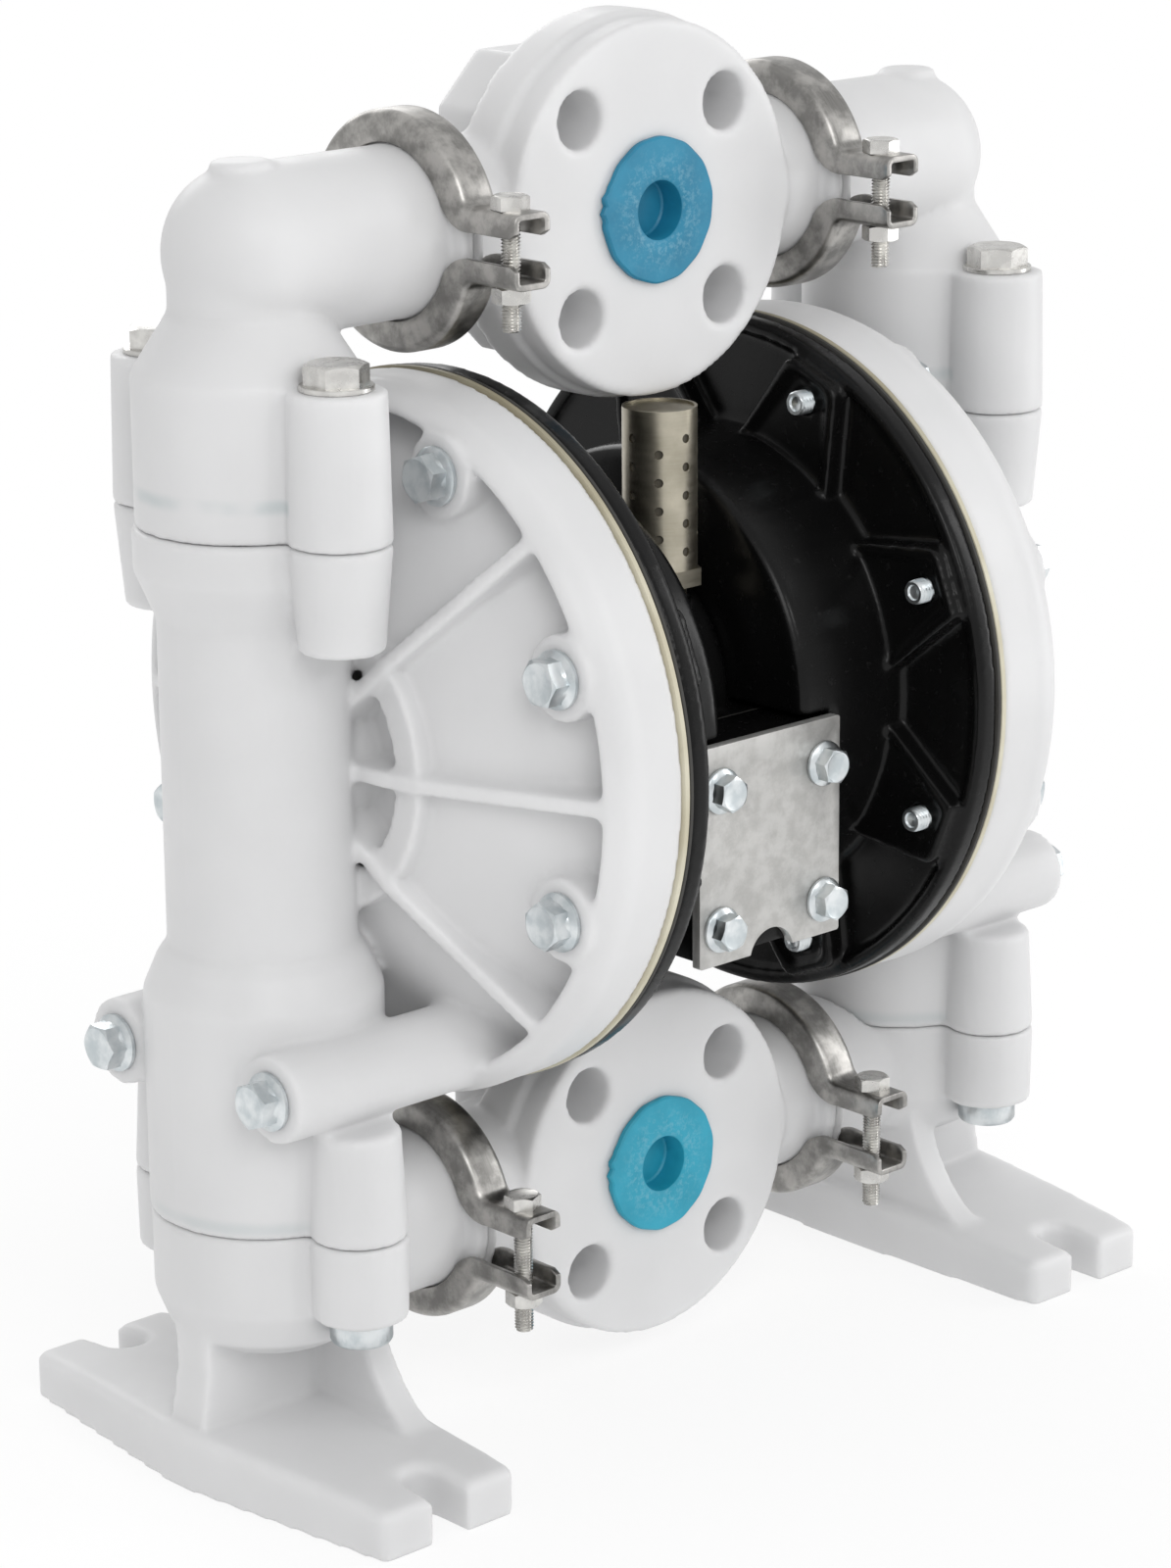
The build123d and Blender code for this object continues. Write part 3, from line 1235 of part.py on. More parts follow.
def rod_bush():
    """Plain bush that guides one end of the rod."""
    with BuildPart() as bush:
        with BuildSketch(across(AIR_FLOOR_X - SEAL_WIDTH)):
            Circle(ROD_R + BUSH_T)
            Circle(ROD_R + FIT, mode=Mode.SUBTRACT)
        extrude(amount=-BUSH_LENGTH)
    return bush.part


def rod_seal():
    """Lip seal between the bush and the air chamber."""
    with BuildPart() as seal:
        with BuildSketch(across(AIR_FLOOR_X)):
            Circle(ROD_R + BUSH_T)
            Circle(ROD_R + FIT, mode=Mode.SUBTRACT)
        extrude(amount=-SEAL_WIDTH)
    return seal.part


# ---- Muffler --------------------------------------------------------------
def muffler_plane(height):
    """Plane square to the muffler at a height above the foot of its neck."""
    return Plane(origin=(0, MUFFLER_Y, MUFFLER_Z + height))


def muffler_nipple():
    """Threaded neck with its hexagon."""
    with BuildPart() as nipple:
        with BuildSketch(muffler_plane(-NIPPLE_ROOT + 1)):
            Circle(NECK_R)
        extrude(amount=NIPPLE_ROOT - 1 + NECK_LENGTH)
        with BuildSketch(muffler_plane(NECK_LENGTH)):
            RegularPolygon(MUFFLER_HEX / 2, 6, major_radius=False)
        extrude(amount=MUFFLER_HEX_T)
    return nipple.part


def muffler_shell():
    """Perforated steel can, closed at the top by a recessed disc."""
    foot = NECK_LENGTH + MUFFLER_HEX_T
    with BuildPart() as shell:
        with BuildSketch(muffler_plane(foot)):
            Circle(MUFFLER_R)
        extrude(amount=MUFFLER_LENGTH)
        with BuildSketch(muffler_plane(foot + MUFFLER_WALL)):
            Circle(MUFFLER_R - MUFFLER_WALL)
        extrude(amount=MUFFLER_LENGTH - 3 * MUFFLER_WALL, mode=Mode.SUBTRACT)
        with BuildSketch(muffler_plane(foot + MUFFLER_LENGTH - MUFFLER_WALL)):
            Circle(MUFFLER_R - 1.2 * MUFFLER_WALL)
        extrude(amount=MUFFLER_WALL, mode=Mode.SUBTRACT)
        for column in range(VENT_COLUMNS):
            between = column % 2
            outward = (*polar(1, 360 / VENT_COLUMNS * column), 0)
            for row in range(VENT_ROWS - between):
                height = foot + VENT_START + VENT_PITCH * (row + between / 2)
                with BuildSketch(Plane(origin=muffler_plane(height).origin, z_dir=outward)):
                    Circle(VENT_R)
                extrude(amount=MUFFLER_R + 1, mode=Mode.SUBTRACT)
    return shell.part


def muffler_element():
    """Porous sleeve inside the can."""
    foot = NECK_LENGTH + MUFFLER_HEX_T + MUFFLER_WALL
    with BuildPart() as element:
        with BuildSketch(muffler_plane(foot)):
            Circle(MUFFLER_R - MUFFLER_WALL - FIT)
            Circle(MUFFLER_R / 2, mode=Mode.SUBTRACT)
        extrude(amount=MUFFLER_LENGTH - 3 * MUFFLER_WALL)
    return element.part


# ---- Write every piece ----------------------------------------------------
save_pair(fluid_cap(), "fluid_cap")
save_pair(air_cap(), "air_cap")
save_pair(cap_bolts(), "cap_bolts")
save_pair(diaphragm(AIR_FACE_X + BACKUP_T, DIAPHRAGM_T), "diaphragm")
save_pair(diaphragm(AIR_FACE_X, BACKUP_T), "backup_diaphragm")
save_pair(inner_plate(), "inner_plate")
save_pair(outer_plate(), "outer_plate")
save_pair(rod_bush(), "rod_bush")
save_pair(rod_seal(), "rod_seal")
save_pair(outlet_elbow(), "outlet_elbow")
save_pair(foot_elbow(), "foot_elbow")
save_pair(valve_seat(UPPER_JOINT_Z), "outlet_seat")
save_pair(valve_seat(LOWER_JOINT_Z), "inlet_seat")
save_pair(valve_ball(UPPER_JOINT_Z), "outlet_ball")
save_pair(valve_ball(LOWER_JOINT_Z), "inlet_ball")
save_pair(clamp_half(OUTLET_Z, 1, EAR_OPEN), "outlet_clamp_upper")
save_pair(clamp_half(OUTLET_Z, -1, EAR_OPEN), "outlet_clamp_lower")
save_pair(clamp_half(INLET_Z, 1, EAR_OPEN), "inlet_clamp_upper")
save_pair(clamp_half(INLET_Z, -1, EAR_OPEN_LOW), "inlet_clamp_lower")
save_pair(spool_end_cap(), "spool_end_cap")
save(manifold_tee(OUTLET_Z), "outlet_tee")
save(manifold_tee(INLET_Z), "inlet_tee")
save(port_plug(OUTLET_Z), "outlet_port_plug")
save(port_plug(INLET_Z), "inlet_port_plug")
save(centre_body(), "centre_body")
save(valve_gasket(), "valve_gasket")
save(valve_block(), "valve_block")
save(valve_spool(), "valve_spool")
save(cover_plate(), "cover_plate")
save(cover_bolts(), "cover_bolts")
save(diaphragm_rod(), "diaphragm_rod")
save(seat_seals(), "seat_seals")
save(elbow_bolts(), "elbow_bolts")
save(elbow_washers(), "elbow_washers")
save(foot_screws(), "foot_screws")
save(clamp_bolts(), "clamp_bolts")
save(clamp_nuts(), "clamp_nuts")
save(muffler_nipple(), "muffler_nipple")
save(muffler_shell(), "muffler_shell")
save(muffler_element(), "muffler_element")
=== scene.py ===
"""Looks of the air operated diaphragm pump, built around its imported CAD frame.

Lengths in this file are millimetres, as in the part's source, until a mesh is made.
"""
import json
import math

import bmesh
import bpy
from mathutils import Matrix, Vector


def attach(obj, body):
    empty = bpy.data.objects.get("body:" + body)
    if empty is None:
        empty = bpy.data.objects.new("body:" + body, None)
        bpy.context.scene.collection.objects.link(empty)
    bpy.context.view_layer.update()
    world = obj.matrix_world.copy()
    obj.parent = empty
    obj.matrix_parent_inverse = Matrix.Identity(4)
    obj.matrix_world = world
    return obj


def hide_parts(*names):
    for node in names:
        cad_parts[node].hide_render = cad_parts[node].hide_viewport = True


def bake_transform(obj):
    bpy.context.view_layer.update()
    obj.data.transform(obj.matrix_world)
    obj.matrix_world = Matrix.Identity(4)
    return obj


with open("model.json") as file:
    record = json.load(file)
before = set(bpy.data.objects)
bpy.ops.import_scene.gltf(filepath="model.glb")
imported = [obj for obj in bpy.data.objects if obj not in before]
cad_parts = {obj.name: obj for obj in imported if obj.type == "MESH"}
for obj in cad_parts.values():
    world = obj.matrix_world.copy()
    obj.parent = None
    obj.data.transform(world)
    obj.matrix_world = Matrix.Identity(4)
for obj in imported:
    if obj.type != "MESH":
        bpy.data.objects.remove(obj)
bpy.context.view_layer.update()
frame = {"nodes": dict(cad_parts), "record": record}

MM = 0.001
SIDES = (("left", -1), ("right", 1))

# ---- Places and sizes, as in the part's source -------------------------------
ROD_Z = 220.3
OUTLET_Z = 375.0
INLET_Z = 66.0
COLUMN_X = 139.0
UPPER_JOINT_Z = 296.0
LOWER_JOINT_Z = 83.5
CLAMP_X = 77.5
RIM_R = 111.0
BOLT_CIRCLE_R = 95.9
BOLT_ANGLES = [45 * (k + 0.5) for k in range(8)]
LOW_ANGLES = BOLT_ANGLES[5:7]
CAP_PAD_X = 98.0
LONG_BOSS_X = 167.0
STUD_END_X = 50.5
AIR_FACE_X = 65.5
UPPER_BOLT_Y = 41.0
LOWER_BOLT_Y = 42.5
UPPER_BOLT_SEAT_Z = 342.6
FOOT_BOSS_Z = 57.5
PORT_FACE_Y = -27.0
CLAMP_BOLT_Y = 47.4
PLATE_FRONT_Y = -78.0
PLATE_BOLT_X = 22.2
PLATE_BOLT_Z = (183.75 - 22.1, 183.75 + 22.1)


# ---- Shader arithmetic -------------------------------------------------------
class Value:
    """A shader socket that takes part in Python arithmetic."""

    def __init__(self, shader, socket):
        self.shader = shader
        self.socket = socket

    def combine(self, operation, first, second):
        return self.shader.node("ShaderNodeMath", {"operation": operation}, {0: first, 1: second})

    def __add__(self, other):
        return self.combine("ADD", self, other)

    __radd__ = __add__

    def __sub__(self, other):
        return self.combine("SUBTRACT", self, other)

    def __rsub__(self, other):
        return self.combine("SUBTRACT", other, self)

    def __mul__(self, other):
        return self.combine("MULTIPLY", self, other)

    __rmul__ = __mul__

    def __pow__(self, other):
        return self.combine("POWER", self, other)

    def above(self, edge, softness):
        """0 under the edge and 1 over it, with a soft step between."""
        ramp = {"interpolation_type": "SMOOTHSTEP"}
        limits = {"Value": self, "From Min": edge - softness, "From Max": edge + softness}
        return self.shader.node("ShaderNodeMapRange", ramp, limits)


class Shader:
    """A material whose principled surface is fed by node expressions."""

    def __init__(self, name, **constants):
        self.material = bpy.data.materials.new(name)
        self.material.use_nodes = True
        self.tree = self.material.node_tree
        self.surface = self.tree.nodes["Principled BSDF"]
        for label, value in constants.items():
            self.surface.inputs[label.replace("_", " ")].default_value = value

    def node(self, kind, settings=None, sockets=None, output=0):
        """Add a node: its settings first, then values or links for its sockets."""
        made = self.tree.nodes.new(kind)
        for key, value in (settings or {}).items():
            setattr(made, key, value)
        for key, value in (sockets or {}).items():
            self.connect(made.inputs[key], value)
        return Value(self, made.outputs[output])

    def connect(self, socket, value):
        if isinstance(value, Value):
            self.tree.links.new(value.socket, socket)
        elif isinstance(value, tuple) and len(value) == 3 and socket.type == "RGBA":
            socket.default_value = (*value, 1)
        else:
            socket.default_value = value

    def feed(self, label, value):
        self.connect(self.surface.inputs[label], value)

    def place(self):
        """Position on the object, in metres."""
        return self.node("ShaderNodeTexCoord", output=3)

    def axis(self, letter):
        """One coordinate of the place, in millimetres."""
        split = self.node("ShaderNodeSeparateXYZ", None, {0: self.place()}, "XYZ".index(letter))
        return split * (1 / MM)

    def stretched(self, factors):
        """The place scaled along each axis, for grain that runs one way."""
        settings = {"operation": "MULTIPLY"}
        return self.node("ShaderNodeVectorMath", settings, {0: self.place(), 1: factors})

    def noise(self, size, detail=3.0, vector=None, roughness=0.5):
        """Cloudy noise whose blobs are about size millimetres across."""
        sockets = {"Vector": vector or self.place(), "Scale": 1 / (size * MM)}
        sockets.update({"Detail": detail, "Roughness": roughness})
        return self.node("ShaderNodeTexNoise", None, sockets)

    def mix(self, factor, first, second):
        """Colour between two colours."""
        sockets = {"Factor": factor, 6: first, 7: second}
        return self.node("ShaderNodeMix", {"data_type": "RGBA"}, sockets, 2)

    def relief(self, height, strength, distance):
        """Bump from a height, with its depth in millimetres."""
        sockets = {"Height": height, "Strength": strength, "Distance": distance * MM}
        self.feed("Normal", self.node("ShaderNodeBump", None, sockets))


# ---- Materials ---------------------------------------------------------------
def milky_plastic():
    """Translucent white polypropylene, with the seals showing through at the joints."""
    skin = Shader(
        "milky_plastic", Roughness=0.4, IOR=1.49, Specular_IOR_Level=0.4,
        Subsurface_Weight=0.5, Subsurface_Radius=(1.0, 1.0, 1.0), Subsurface_Scale=0.007,
    )
    cloud = skin.noise(55, 2.0)
    grain = skin.noise(2.2, 4.0)
    side = skin.node("ShaderNodeMath", {"operation": "ABSOLUTE"}, {0: skin.axis("X")}) - COLUMN_X
    deep = skin.axis("Y")
    radius = (side * side + deep * deep) ** 0.5
    height = skin.axis("Z")
    near = 1 - radius.above(38.0, 1.5)
    upper = height.above(UPPER_JOINT_Z + 9.5, 1.5) * (1 - height.above(UPPER_JOINT_Z + 13.0, 1.5))
    lower = height.above(LOWER_JOINT_Z + 2.0, 1.5) * (1 - height.above(LOWER_JOINT_Z + 5.5, 1.5))
    patchy = skin.noise(24, 2.0).above(0.46, 0.16)
    seal = near * (upper + 0.6 * lower) * patchy
    base = skin.mix(cloud.above(0.52, 0.2), (0.655, 0.655, 0.66), (0.70, 0.70, 0.705))
    base = skin.mix(grain * 0.12, base, (0.76, 0.76, 0.76))
    skin.feed("Base Color", skin.mix(seal * 0.4, base, (0.33, 0.42, 0.43)))
    skin.feed("Roughness", 0.32 + 0.2 * skin.noise(9, 3.0))
    skin.relief(skin.noise(14, 3.0) + 0.25 * grain, 0.25, 0.25)
    return skin.material


def black_plastic():
    """Glossy black moulding with a faint orange peel."""
    skin = Shader("black_plastic", Roughness=0.3, IOR=1.5, Specular_IOR_Level=0.2)
    dust = skin.noise(3.0, 5.0, roughness=0.7).above(0.66, 0.05)
    cloud = skin.noise(30, 2.0)
    base = skin.mix(cloud, (0.0022, 0.0022, 0.0023), (0.005, 0.005, 0.005))
    skin.feed("Base Color", skin.mix(dust * 0.25, base, (0.03, 0.03, 0.03)))
    skin.feed("Roughness", 0.2 + 0.12 * skin.noise(12, 3.0) + 0.15 * dust)
    skin.relief(skin.noise(4.5, 2.0), 0.12, 0.15)
    return skin.material


def worn_steel():
    """Tumbled stainless strip with grey blotches and rolling marks."""
    skin = Shader("worn_steel", Metallic=1.0, Roughness=0.32)
    blotch = skin.noise(9, 5.0, roughness=0.62)
    streak = skin.noise(4, 3.0, skin.stretched((6.0, 0.7, 0.7)))
    shade = skin.mix(blotch.above(0.52, 0.14), (0.20, 0.195, 0.185), (0.47, 0.455, 0.435))
    skin.feed("Base Color", skin.mix(streak * 0.35, shade, (0.62, 0.61, 0.59)))
    skin.feed("Roughness", 0.24 + 0.24 * blotch)
    skin.relief(blotch + 0.5 * streak, 0.12, 0.12)
    return skin.material


def plate_steel():
    """Rolled stainless sheet, mottled, with a fine sparkle."""
    skin = Shader("plate_steel", Metallic=0.85, Roughness=0.5)
    cloud = skin.noise(7, 5.0, roughness=0.65)
    fine = skin.noise(0.8, 3.0)
    shade = skin.mix(cloud.above(0.5, 0.14), (0.44, 0.435, 0.42), (0.56, 0.555, 0.54))
    skin.feed("Base Color", skin.mix(fine * 0.3, shade, (0.66, 0.655, 0.64)))
    skin.feed("Roughness", 0.46 + 0.14 * cloud)
    skin.relief(fine, 0.1, 0.06)
    return skin.material


def bright_steel():
    """Stainless bolts and nuts."""
    skin = Shader("bright_steel", Metallic=1.0, Roughness=0.25)
    stain = skin.noise(5, 4.0)
    skin.feed("Base Color", skin.mix(stain.above(0.55, 0.2), (0.60, 0.59, 0.57), (0.80, 0.79, 0.76)))
    skin.feed("Roughness", 0.2 + 0.16 * stain)
    skin.relief(skin.noise(1.5, 3.0), 0.08, 0.05)
    return skin.material


def zinc():
    """Blue-white zinc plating."""
    skin = Shader("zinc", Metallic=1.0, Roughness=0.3)
    tint = skin.noise(6, 4.0)
    skin.feed("Base Color", skin.mix(tint.above(0.5, 0.2), (0.54, 0.59, 0.61), (0.78, 0.81, 0.82)))
    skin.feed("Roughness", 0.24 + 0.18 * tint)
    skin.relief(skin.noise(1.2, 3.0), 0.1, 0.05)
    return skin.material


def plug_blue(name, centre_z, deep, pale):
    """Soft blue plastic, scuffed white round its well."""
    skin = Shader(name, Roughness=0.45)
    cloud = skin.noise(11, 3.0)
    fleck = skin.noise(1.6, 5.0, roughness=0.7)
    across = skin.axis("X")
    up = skin.axis("Z") - centre_z
    radius = (across * across + up * up) ** 0.5
    ring = radius.above(9.6, 0.6)
    worn = (1 - radius.above(17.0, 6.0)) * ring * fleck.above(0.56, 0.1)
    spot = ring * fleck.above(0.72, 0.04)
    base = skin.mix(cloud.above(0.5, 0.25), deep, pale)
    skin.feed("Base Color", skin.mix(worn * 0.3 + spot * 0.15, base, (0.30, 0.50, 0.58)))
    skin.feed("Roughness", 0.4 + 0.2 * fleck)
    skin.relief(fleck, 0.15, 0.1)
    return skin.material


def cream_rubber():
    """Facing diaphragm's edge, darker and browner towards the top."""
    skin = Shader("cream_rubber", Roughness=0.5)
    smear = skin.noise(22, 4.0)
    top = skin.axis("Z").above(300.0, 25.0)
    base = skin.mix(smear.above(0.5, 0.2), (0.50, 0.46, 0.34), (0.62, 0.59, 0.47))
    skin.feed("Base Color", skin.mix(top * 0.65, base, (0.20, 0.17, 0.10)))
    skin.feed("Roughness", 0.38 + 0.2 * smear)
    skin.relief(skin.noise(2.0, 3.0), 0.2, 0.1)
    return skin.material


def dark_rubber():
    """Backing diaphragm, seals and gasket, with a dull bloom."""
    skin = Shader("dark_rubber", Roughness=0.6)
    bloom = skin.noise(7, 4.0)
    skin.feed("Base Color", skin.mix(bloom, (0.018, 0.017, 0.016), (0.05, 0.048, 0.042)))
    skin.feed("Roughness", 0.5 + 0.25 * bloom)
    skin.relief(skin.noise(1.5, 3.0), 0.2, 0.08)
    return skin.material


def muffler_nickel():
    """Warm nickel plating, brushed round the can."""
    skin = Shader("muffler_nickel", Metallic=1.0, Roughness=0.3)
    ring = skin.noise(2.2, 4.0, skin.stretched((0.25, 0.25, 3.0)))
    cloud = skin.noise(12, 4.0)
    shade = skin.mix(cloud.above(0.5, 0.2), (0.34, 0.31, 0.24), (0.50, 0.46, 0.37))
    skin.feed("Base Color", skin.mix(ring * 0.35, shade, (0.64, 0.61, 0.52)))
    skin.feed("Roughness", 0.26 + 0.2 * ring)
    skin.relief(ring, 0.08, 0.05)
    return skin.material


def plain_finish(name, dark, light, metallic, roughness, size):
    """Finish of an inner piece: two close shades with a fine relief."""
    skin = Shader(name, Metallic=metallic, Roughness=roughness)
    cloud = skin.noise(size, 3.0)
    skin.feed("Base Color", skin.mix(cloud, dark, light))
    skin.feed("Roughness", roughness - 0.08 + 0.16 * cloud)
    skin.relief(skin.noise(size / 6, 3.0), 0.12, 0.06)
    return skin.material


MILKY = milky_plastic()
BLACK = black_plastic()
STEEL = worn_steel()
PLATE = plate_steel()
BRIGHT = bright_steel()
ZINC = zinc()
BLUE_TOP = plug_blue("plug_blue_deep", OUTLET_Z, (0.006, 0.17, 0.29), (0.012, 0.22, 0.36))
BLUE_LOW = plug_blue("plug_blue_bright", INLET_Z, (0.010, 0.28, 0.40), (0.020, 0.34, 0.48))
CREAM = cream_rubber()
RUBBER = dark_rubber()
NICKEL = muffler_nickel()
BALL = plain_finish("ball_rubber", (0.05, 0.05, 0.05), (0.09, 0.09, 0.09), 0.0, 0.5, 8)
SEAT = plain_finish("seat_plastic", (0.62, 0.62, 0.60), (0.74, 0.74, 0.72), 0.0, 0.45, 10)
ALLOY = plain_finish("plate_alloy", (0.42, 0.42, 0.43), (0.6, 0.6, 0.6), 1.0, 0.4, 10)
BRONZE = plain_finish("bush_bronze", (0.40, 0.27, 0.12), (0.55, 0.40, 0.2), 1.0, 0.35, 6)
ROD_STEEL = plain_finish("rod_steel", (0.55, 0.55, 0.55), (0.7, 0.7, 0.7), 1.0, 0.2, 12)
FELT = plain_finish("filter_felt", (0.05, 0.045, 0.035), (0.10, 0.09, 0.07), 0.0, 0.9, 3)


def both(name):
    return [f"{side}_{name}" for side, _ in SIDES]


CARRIED = (
    (MILKY, ["outlet_tee", "inlet_tee"] + both("fluid_cap") + both("outlet_elbow") + both("foot_elbow")),
    (BLACK, both("air_cap") + both("spool_end_cap") + ["centre_body", "valve_block"]),
    (CREAM, both("diaphragm")),
    (RUBBER, both("backup_diaphragm") + both("rod_seal") + ["seat_seals", "valve_gasket"]),
    (STEEL, [f"{side}_{line}_clamp_{half}" for side, _ in SIDES
             for line in ("outlet", "inlet") for half in ("upper", "lower")]),
    (PLATE, ["cover_plate"]),
    (BRIGHT, ["elbow_bolts", "elbow_washers", "clamp_bolts", "clamp_nuts"]),
    (ROD_STEEL, ["diaphragm_rod"]),
    (ZINC, both("cap_bolts") + ["cover_bolts", "foot_screws"]),
    (BLUE_TOP, ["outlet_port_plug"]),
    (BLUE_LOW, ["inlet_port_plug"]),
    (BALL, both("outlet_ball") + both("inlet_ball")),
    (SEAT, both("outlet_seat") + both("inlet_seat") + both("outer_plate") + ["valve_spool"]),
    (ALLOY, both("inner_plate")),
    (BRONZE, both("rod_bush")),
    (NICKEL, ["muffler_shell", "muffler_nipple"]),
    (FELT, ["muffler_element"]),
)
for material, nodes in CARRIED:
    for node in nodes:
        frame["nodes"][node].data.materials.clear()
        frame["nodes"][node].data.materials.append(material)


# ---- Making pieces -----------------------------------------------------------
def body_of(node):
    """Name of the body that a node rides on."""
    bodies = frame["record"]["behaviour"]["bodies"]
    return next(name for name, nodes in bodies.items() if node in nodes)


def slot_of(node):
    subparts = frame["record"]["subparts"]
    return next(entry["material_slot"] for entry in subparts if entry["node"] == node)


def settle(piece, material, *nodes):
    """Give a new piece its finish, and let it stand for its CAD nodes."""
    piece.data.materials.clear()
    piece.data.materials.append(material)
    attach(piece, body_of(nodes[0]))
    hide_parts(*nodes)
    slot_of(nodes[0])
    return piece


def add_mesh(name, mesh):
    piece = bpy.data.objects.new(name, mesh)
    bpy.context.scene.collection.objects.link(piece)
    return piece


def apply_modifiers(piece):
    """Bake a piece's modifiers into its mesh."""
    graph = bpy.context.evaluated_depsgraph_get()
    mesh = bpy.data.meshes.new_from_object(piece.evaluated_get(graph))
    piece.modifiers.clear()
    piece.data = mesh


def shade(piece, angle=35.0):
    """Smooth shading with creases sharper than the angle kept."""
    for face in piece.data.polygons:
        face.use_smooth = True
    piece.data.set_sharp_from_angle(angle=math.radians(angle))


def moulded(node, voxel, rounds):
    """A CAD node as a moulding: remeshed evenly, with its edges softened."""
    mesh = frame["nodes"][node].data.copy()
    piece = add_mesh(f"{node}_moulding", mesh)
    piece.matrix_world = Matrix.Identity(4)
    remesh = piece.modifiers.new("even", "REMESH")
    remesh.mode = "VOXEL"
    remesh.voxel_size = voxel * MM
    remesh.adaptivity = 0.0
    smooth = piece.modifiers.new("soften", "SMOOTH")
    smooth.factor = 0.5
    smooth.iterations = rounds
    apply_modifiers(piece)
    shade(piece, 60)
    return piece


class Sheet:
    """Vertices and faces gathered in millimetres for one mesh."""

    def __init__(self):
        self.points = []
        self.faces = []

    def grid(self, rows, closed_across=True):
        """Skin over rows of points, each row as long as the first."""
        base = len(self.points)
        width = len(rows[0])
        for row in rows:
            self.points.extend(row)
        last_column = width if closed_across else width - 1
        for r in range(len(rows) - 1):
            for c in range(last_column):
                here = base + r * width
                after = here + width
                follow = (c + 1) % width
                self.faces.append((here + c, here + follow, after + follow, after + c))

    def cap(self, row, flip=False):
        """Flat lid over a closed row of points."""
        base = len(self.points)
        self.points.extend(row)
        face = tuple(range(base, base + len(row)))
        self.faces.append(face[::-1] if flip else face)

    def piece(self, name, angle=35.0):
        mesh = bpy.data.meshes.new(name)
        mesh.from_pydata([tuple(Vector(p) * MM) for p in self.points], [], self.faces)
        form = bmesh.new()
        form.from_mesh(mesh)
        bmesh.ops.remove_doubles(form, verts=form.verts, dist=0.004 * MM)
        bmesh.ops.recalc_face_normals(form, faces=form.faces)
        form.to_mesh(mesh)
        form.free()
        made = add_mesh(name, mesh)
        shade(made, angle)
        return made


def frame_on(origin, along, hint=(0, 0, 1)):
    """Matrix whose local Z points along a direction from an origin."""
    z = Vector(along).normalized()
    side = Vector(hint)
    if abs(z.dot(side.normalized())) > 0.95:
        side = Vector((1, 0, 0))
    x = side.cross(z).normalized()
    y = z.cross(x)
    turn = Matrix((x, y, z)).transposed().to_4x4()
    return Matrix.Translation(Vector(origin)) @ turn


def lathe(sheet, place, profile, steps=64):
    """Turn (radius, height) points about the local Z of a place."""
    rows = []
    for radius, height in profile:
        ring = []
        for k in range(steps):
            turn = 2 * math.pi * k / steps
            ring.append(place @ Vector((radius * math.cos(turn), radius * math.sin(turn), height)))
        rows.append(ring)
    sheet.grid(rows)


def hexagon(sheet, place, width, height, flat_top=0.94, both_ends=False):
    """Hexagon head or nut blank whose corners are turned down to a cone."""
    steps = 72
    rim = width / 2 * flat_top

    def reach(turn):
        return width / 2 / math.cos((turn % (math.pi / 3)) - math.pi / 6)

    def corner_drop(radius):
        return max(0.0, radius - rim) * 0.5

    turns = [2 * math.pi * k / steps for k in range(steps)]

    def ring(radius_of, height_of):
        points = []
        for turn in turns:
            radius = radius_of(turn)
            point = Vector((radius * math.cos(turn), radius * math.sin(turn), height_of(radius)))
            points.append(place @ point)
        return points

    low = corner_drop if both_ends else (lambda r: 0.0)
    rows = [ring(lambda t: 0.001, lambda r: 0.0)]
    rows.append(ring(lambda t: rim, lambda r: 0.0))
    rows.append(ring(reach, low))
    rows.append(ring(reach, lambda r: height - corner_drop(r)))
    rows.append(ring(lambda t: rim, lambda r: height))
    rows.append(ring(lambda t: rim * 0.9, lambda r: height - 0.12))
    rows.append(ring(lambda t: 0.001, lambda r: height - 0.12))
    sheet.grid(rows)


def thread(sheet, place, radius, length, pitch, depth=0.7, dimple=0.0, steps=24):
    """Shank with a helical ridge along the local Z of a place, its end flat or dimpled."""
    per_turn = 8
    count = int(length / pitch * per_turn)
    rows = []
    for r in range(count + 1):
        height = r * pitch / per_turn
        ring = []
        for k in range(steps):
            phase = (r / per_turn - k / steps) % 1.0
            ridge = abs(2 * phase - 1)
            fade = min(1.0, (length - height) / pitch)
            bore = radius - depth * (1 - ridge) - 0.35 * depth * (1 - fade)
            turn = 2 * math.pi * k / steps
            ring.append(place @ Vector((bore * math.cos(turn), bore * math.sin(turn), height)))
        rows.append(ring)
    sheet.grid(rows)
    sheet.cap(rows[0], flip=True)
    if dimple:
        end = count * pitch / per_turn
        for inner, height in ((dimple, end), (dimple * 0.85, end - 0.7), (0.01, end - 1.3)):
            turns = [2 * math.pi * k / steps for k in range(steps)]
            ring = [place @ Vector((inner * math.cos(a), inner * math.sin(a), height)) for a in turns]
            sheet.grid([rows[-1], ring])
            rows.append(ring)
    else:
        sheet.cap(rows[-1])


def flange_head(sheet, place, across_flats, height, flange_r):
    """Hexagon head on its own washer face."""
    edge = 0.18 * height
    lathe(sheet, place, [
        (0.001, 0.0),
        (flange_r - 0.3, 0.0),
        (flange_r, 0.35),
        (flange_r, edge),
        (flange_r - 0.4, edge + 0.35),
        (across_flats * 0.53, edge + 0.14 * height),
        (across_flats * 0.5, edge + 0.3 * height),
        (0.001, edge + 0.3 * height),
    ])
    hexagon(sheet, place @ Matrix.Translation((0, 0, edge)), across_flats, height - edge)


def bolt_seat(side, angle, x):
    """Point on a cap bolt's axis at a distance from the middle."""
    turn = math.radians(angle)
    return (side * x, BOLT_CIRCLE_R * math.cos(turn), ROD_Z + BOLT_CIRCLE_R * math.sin(turn))


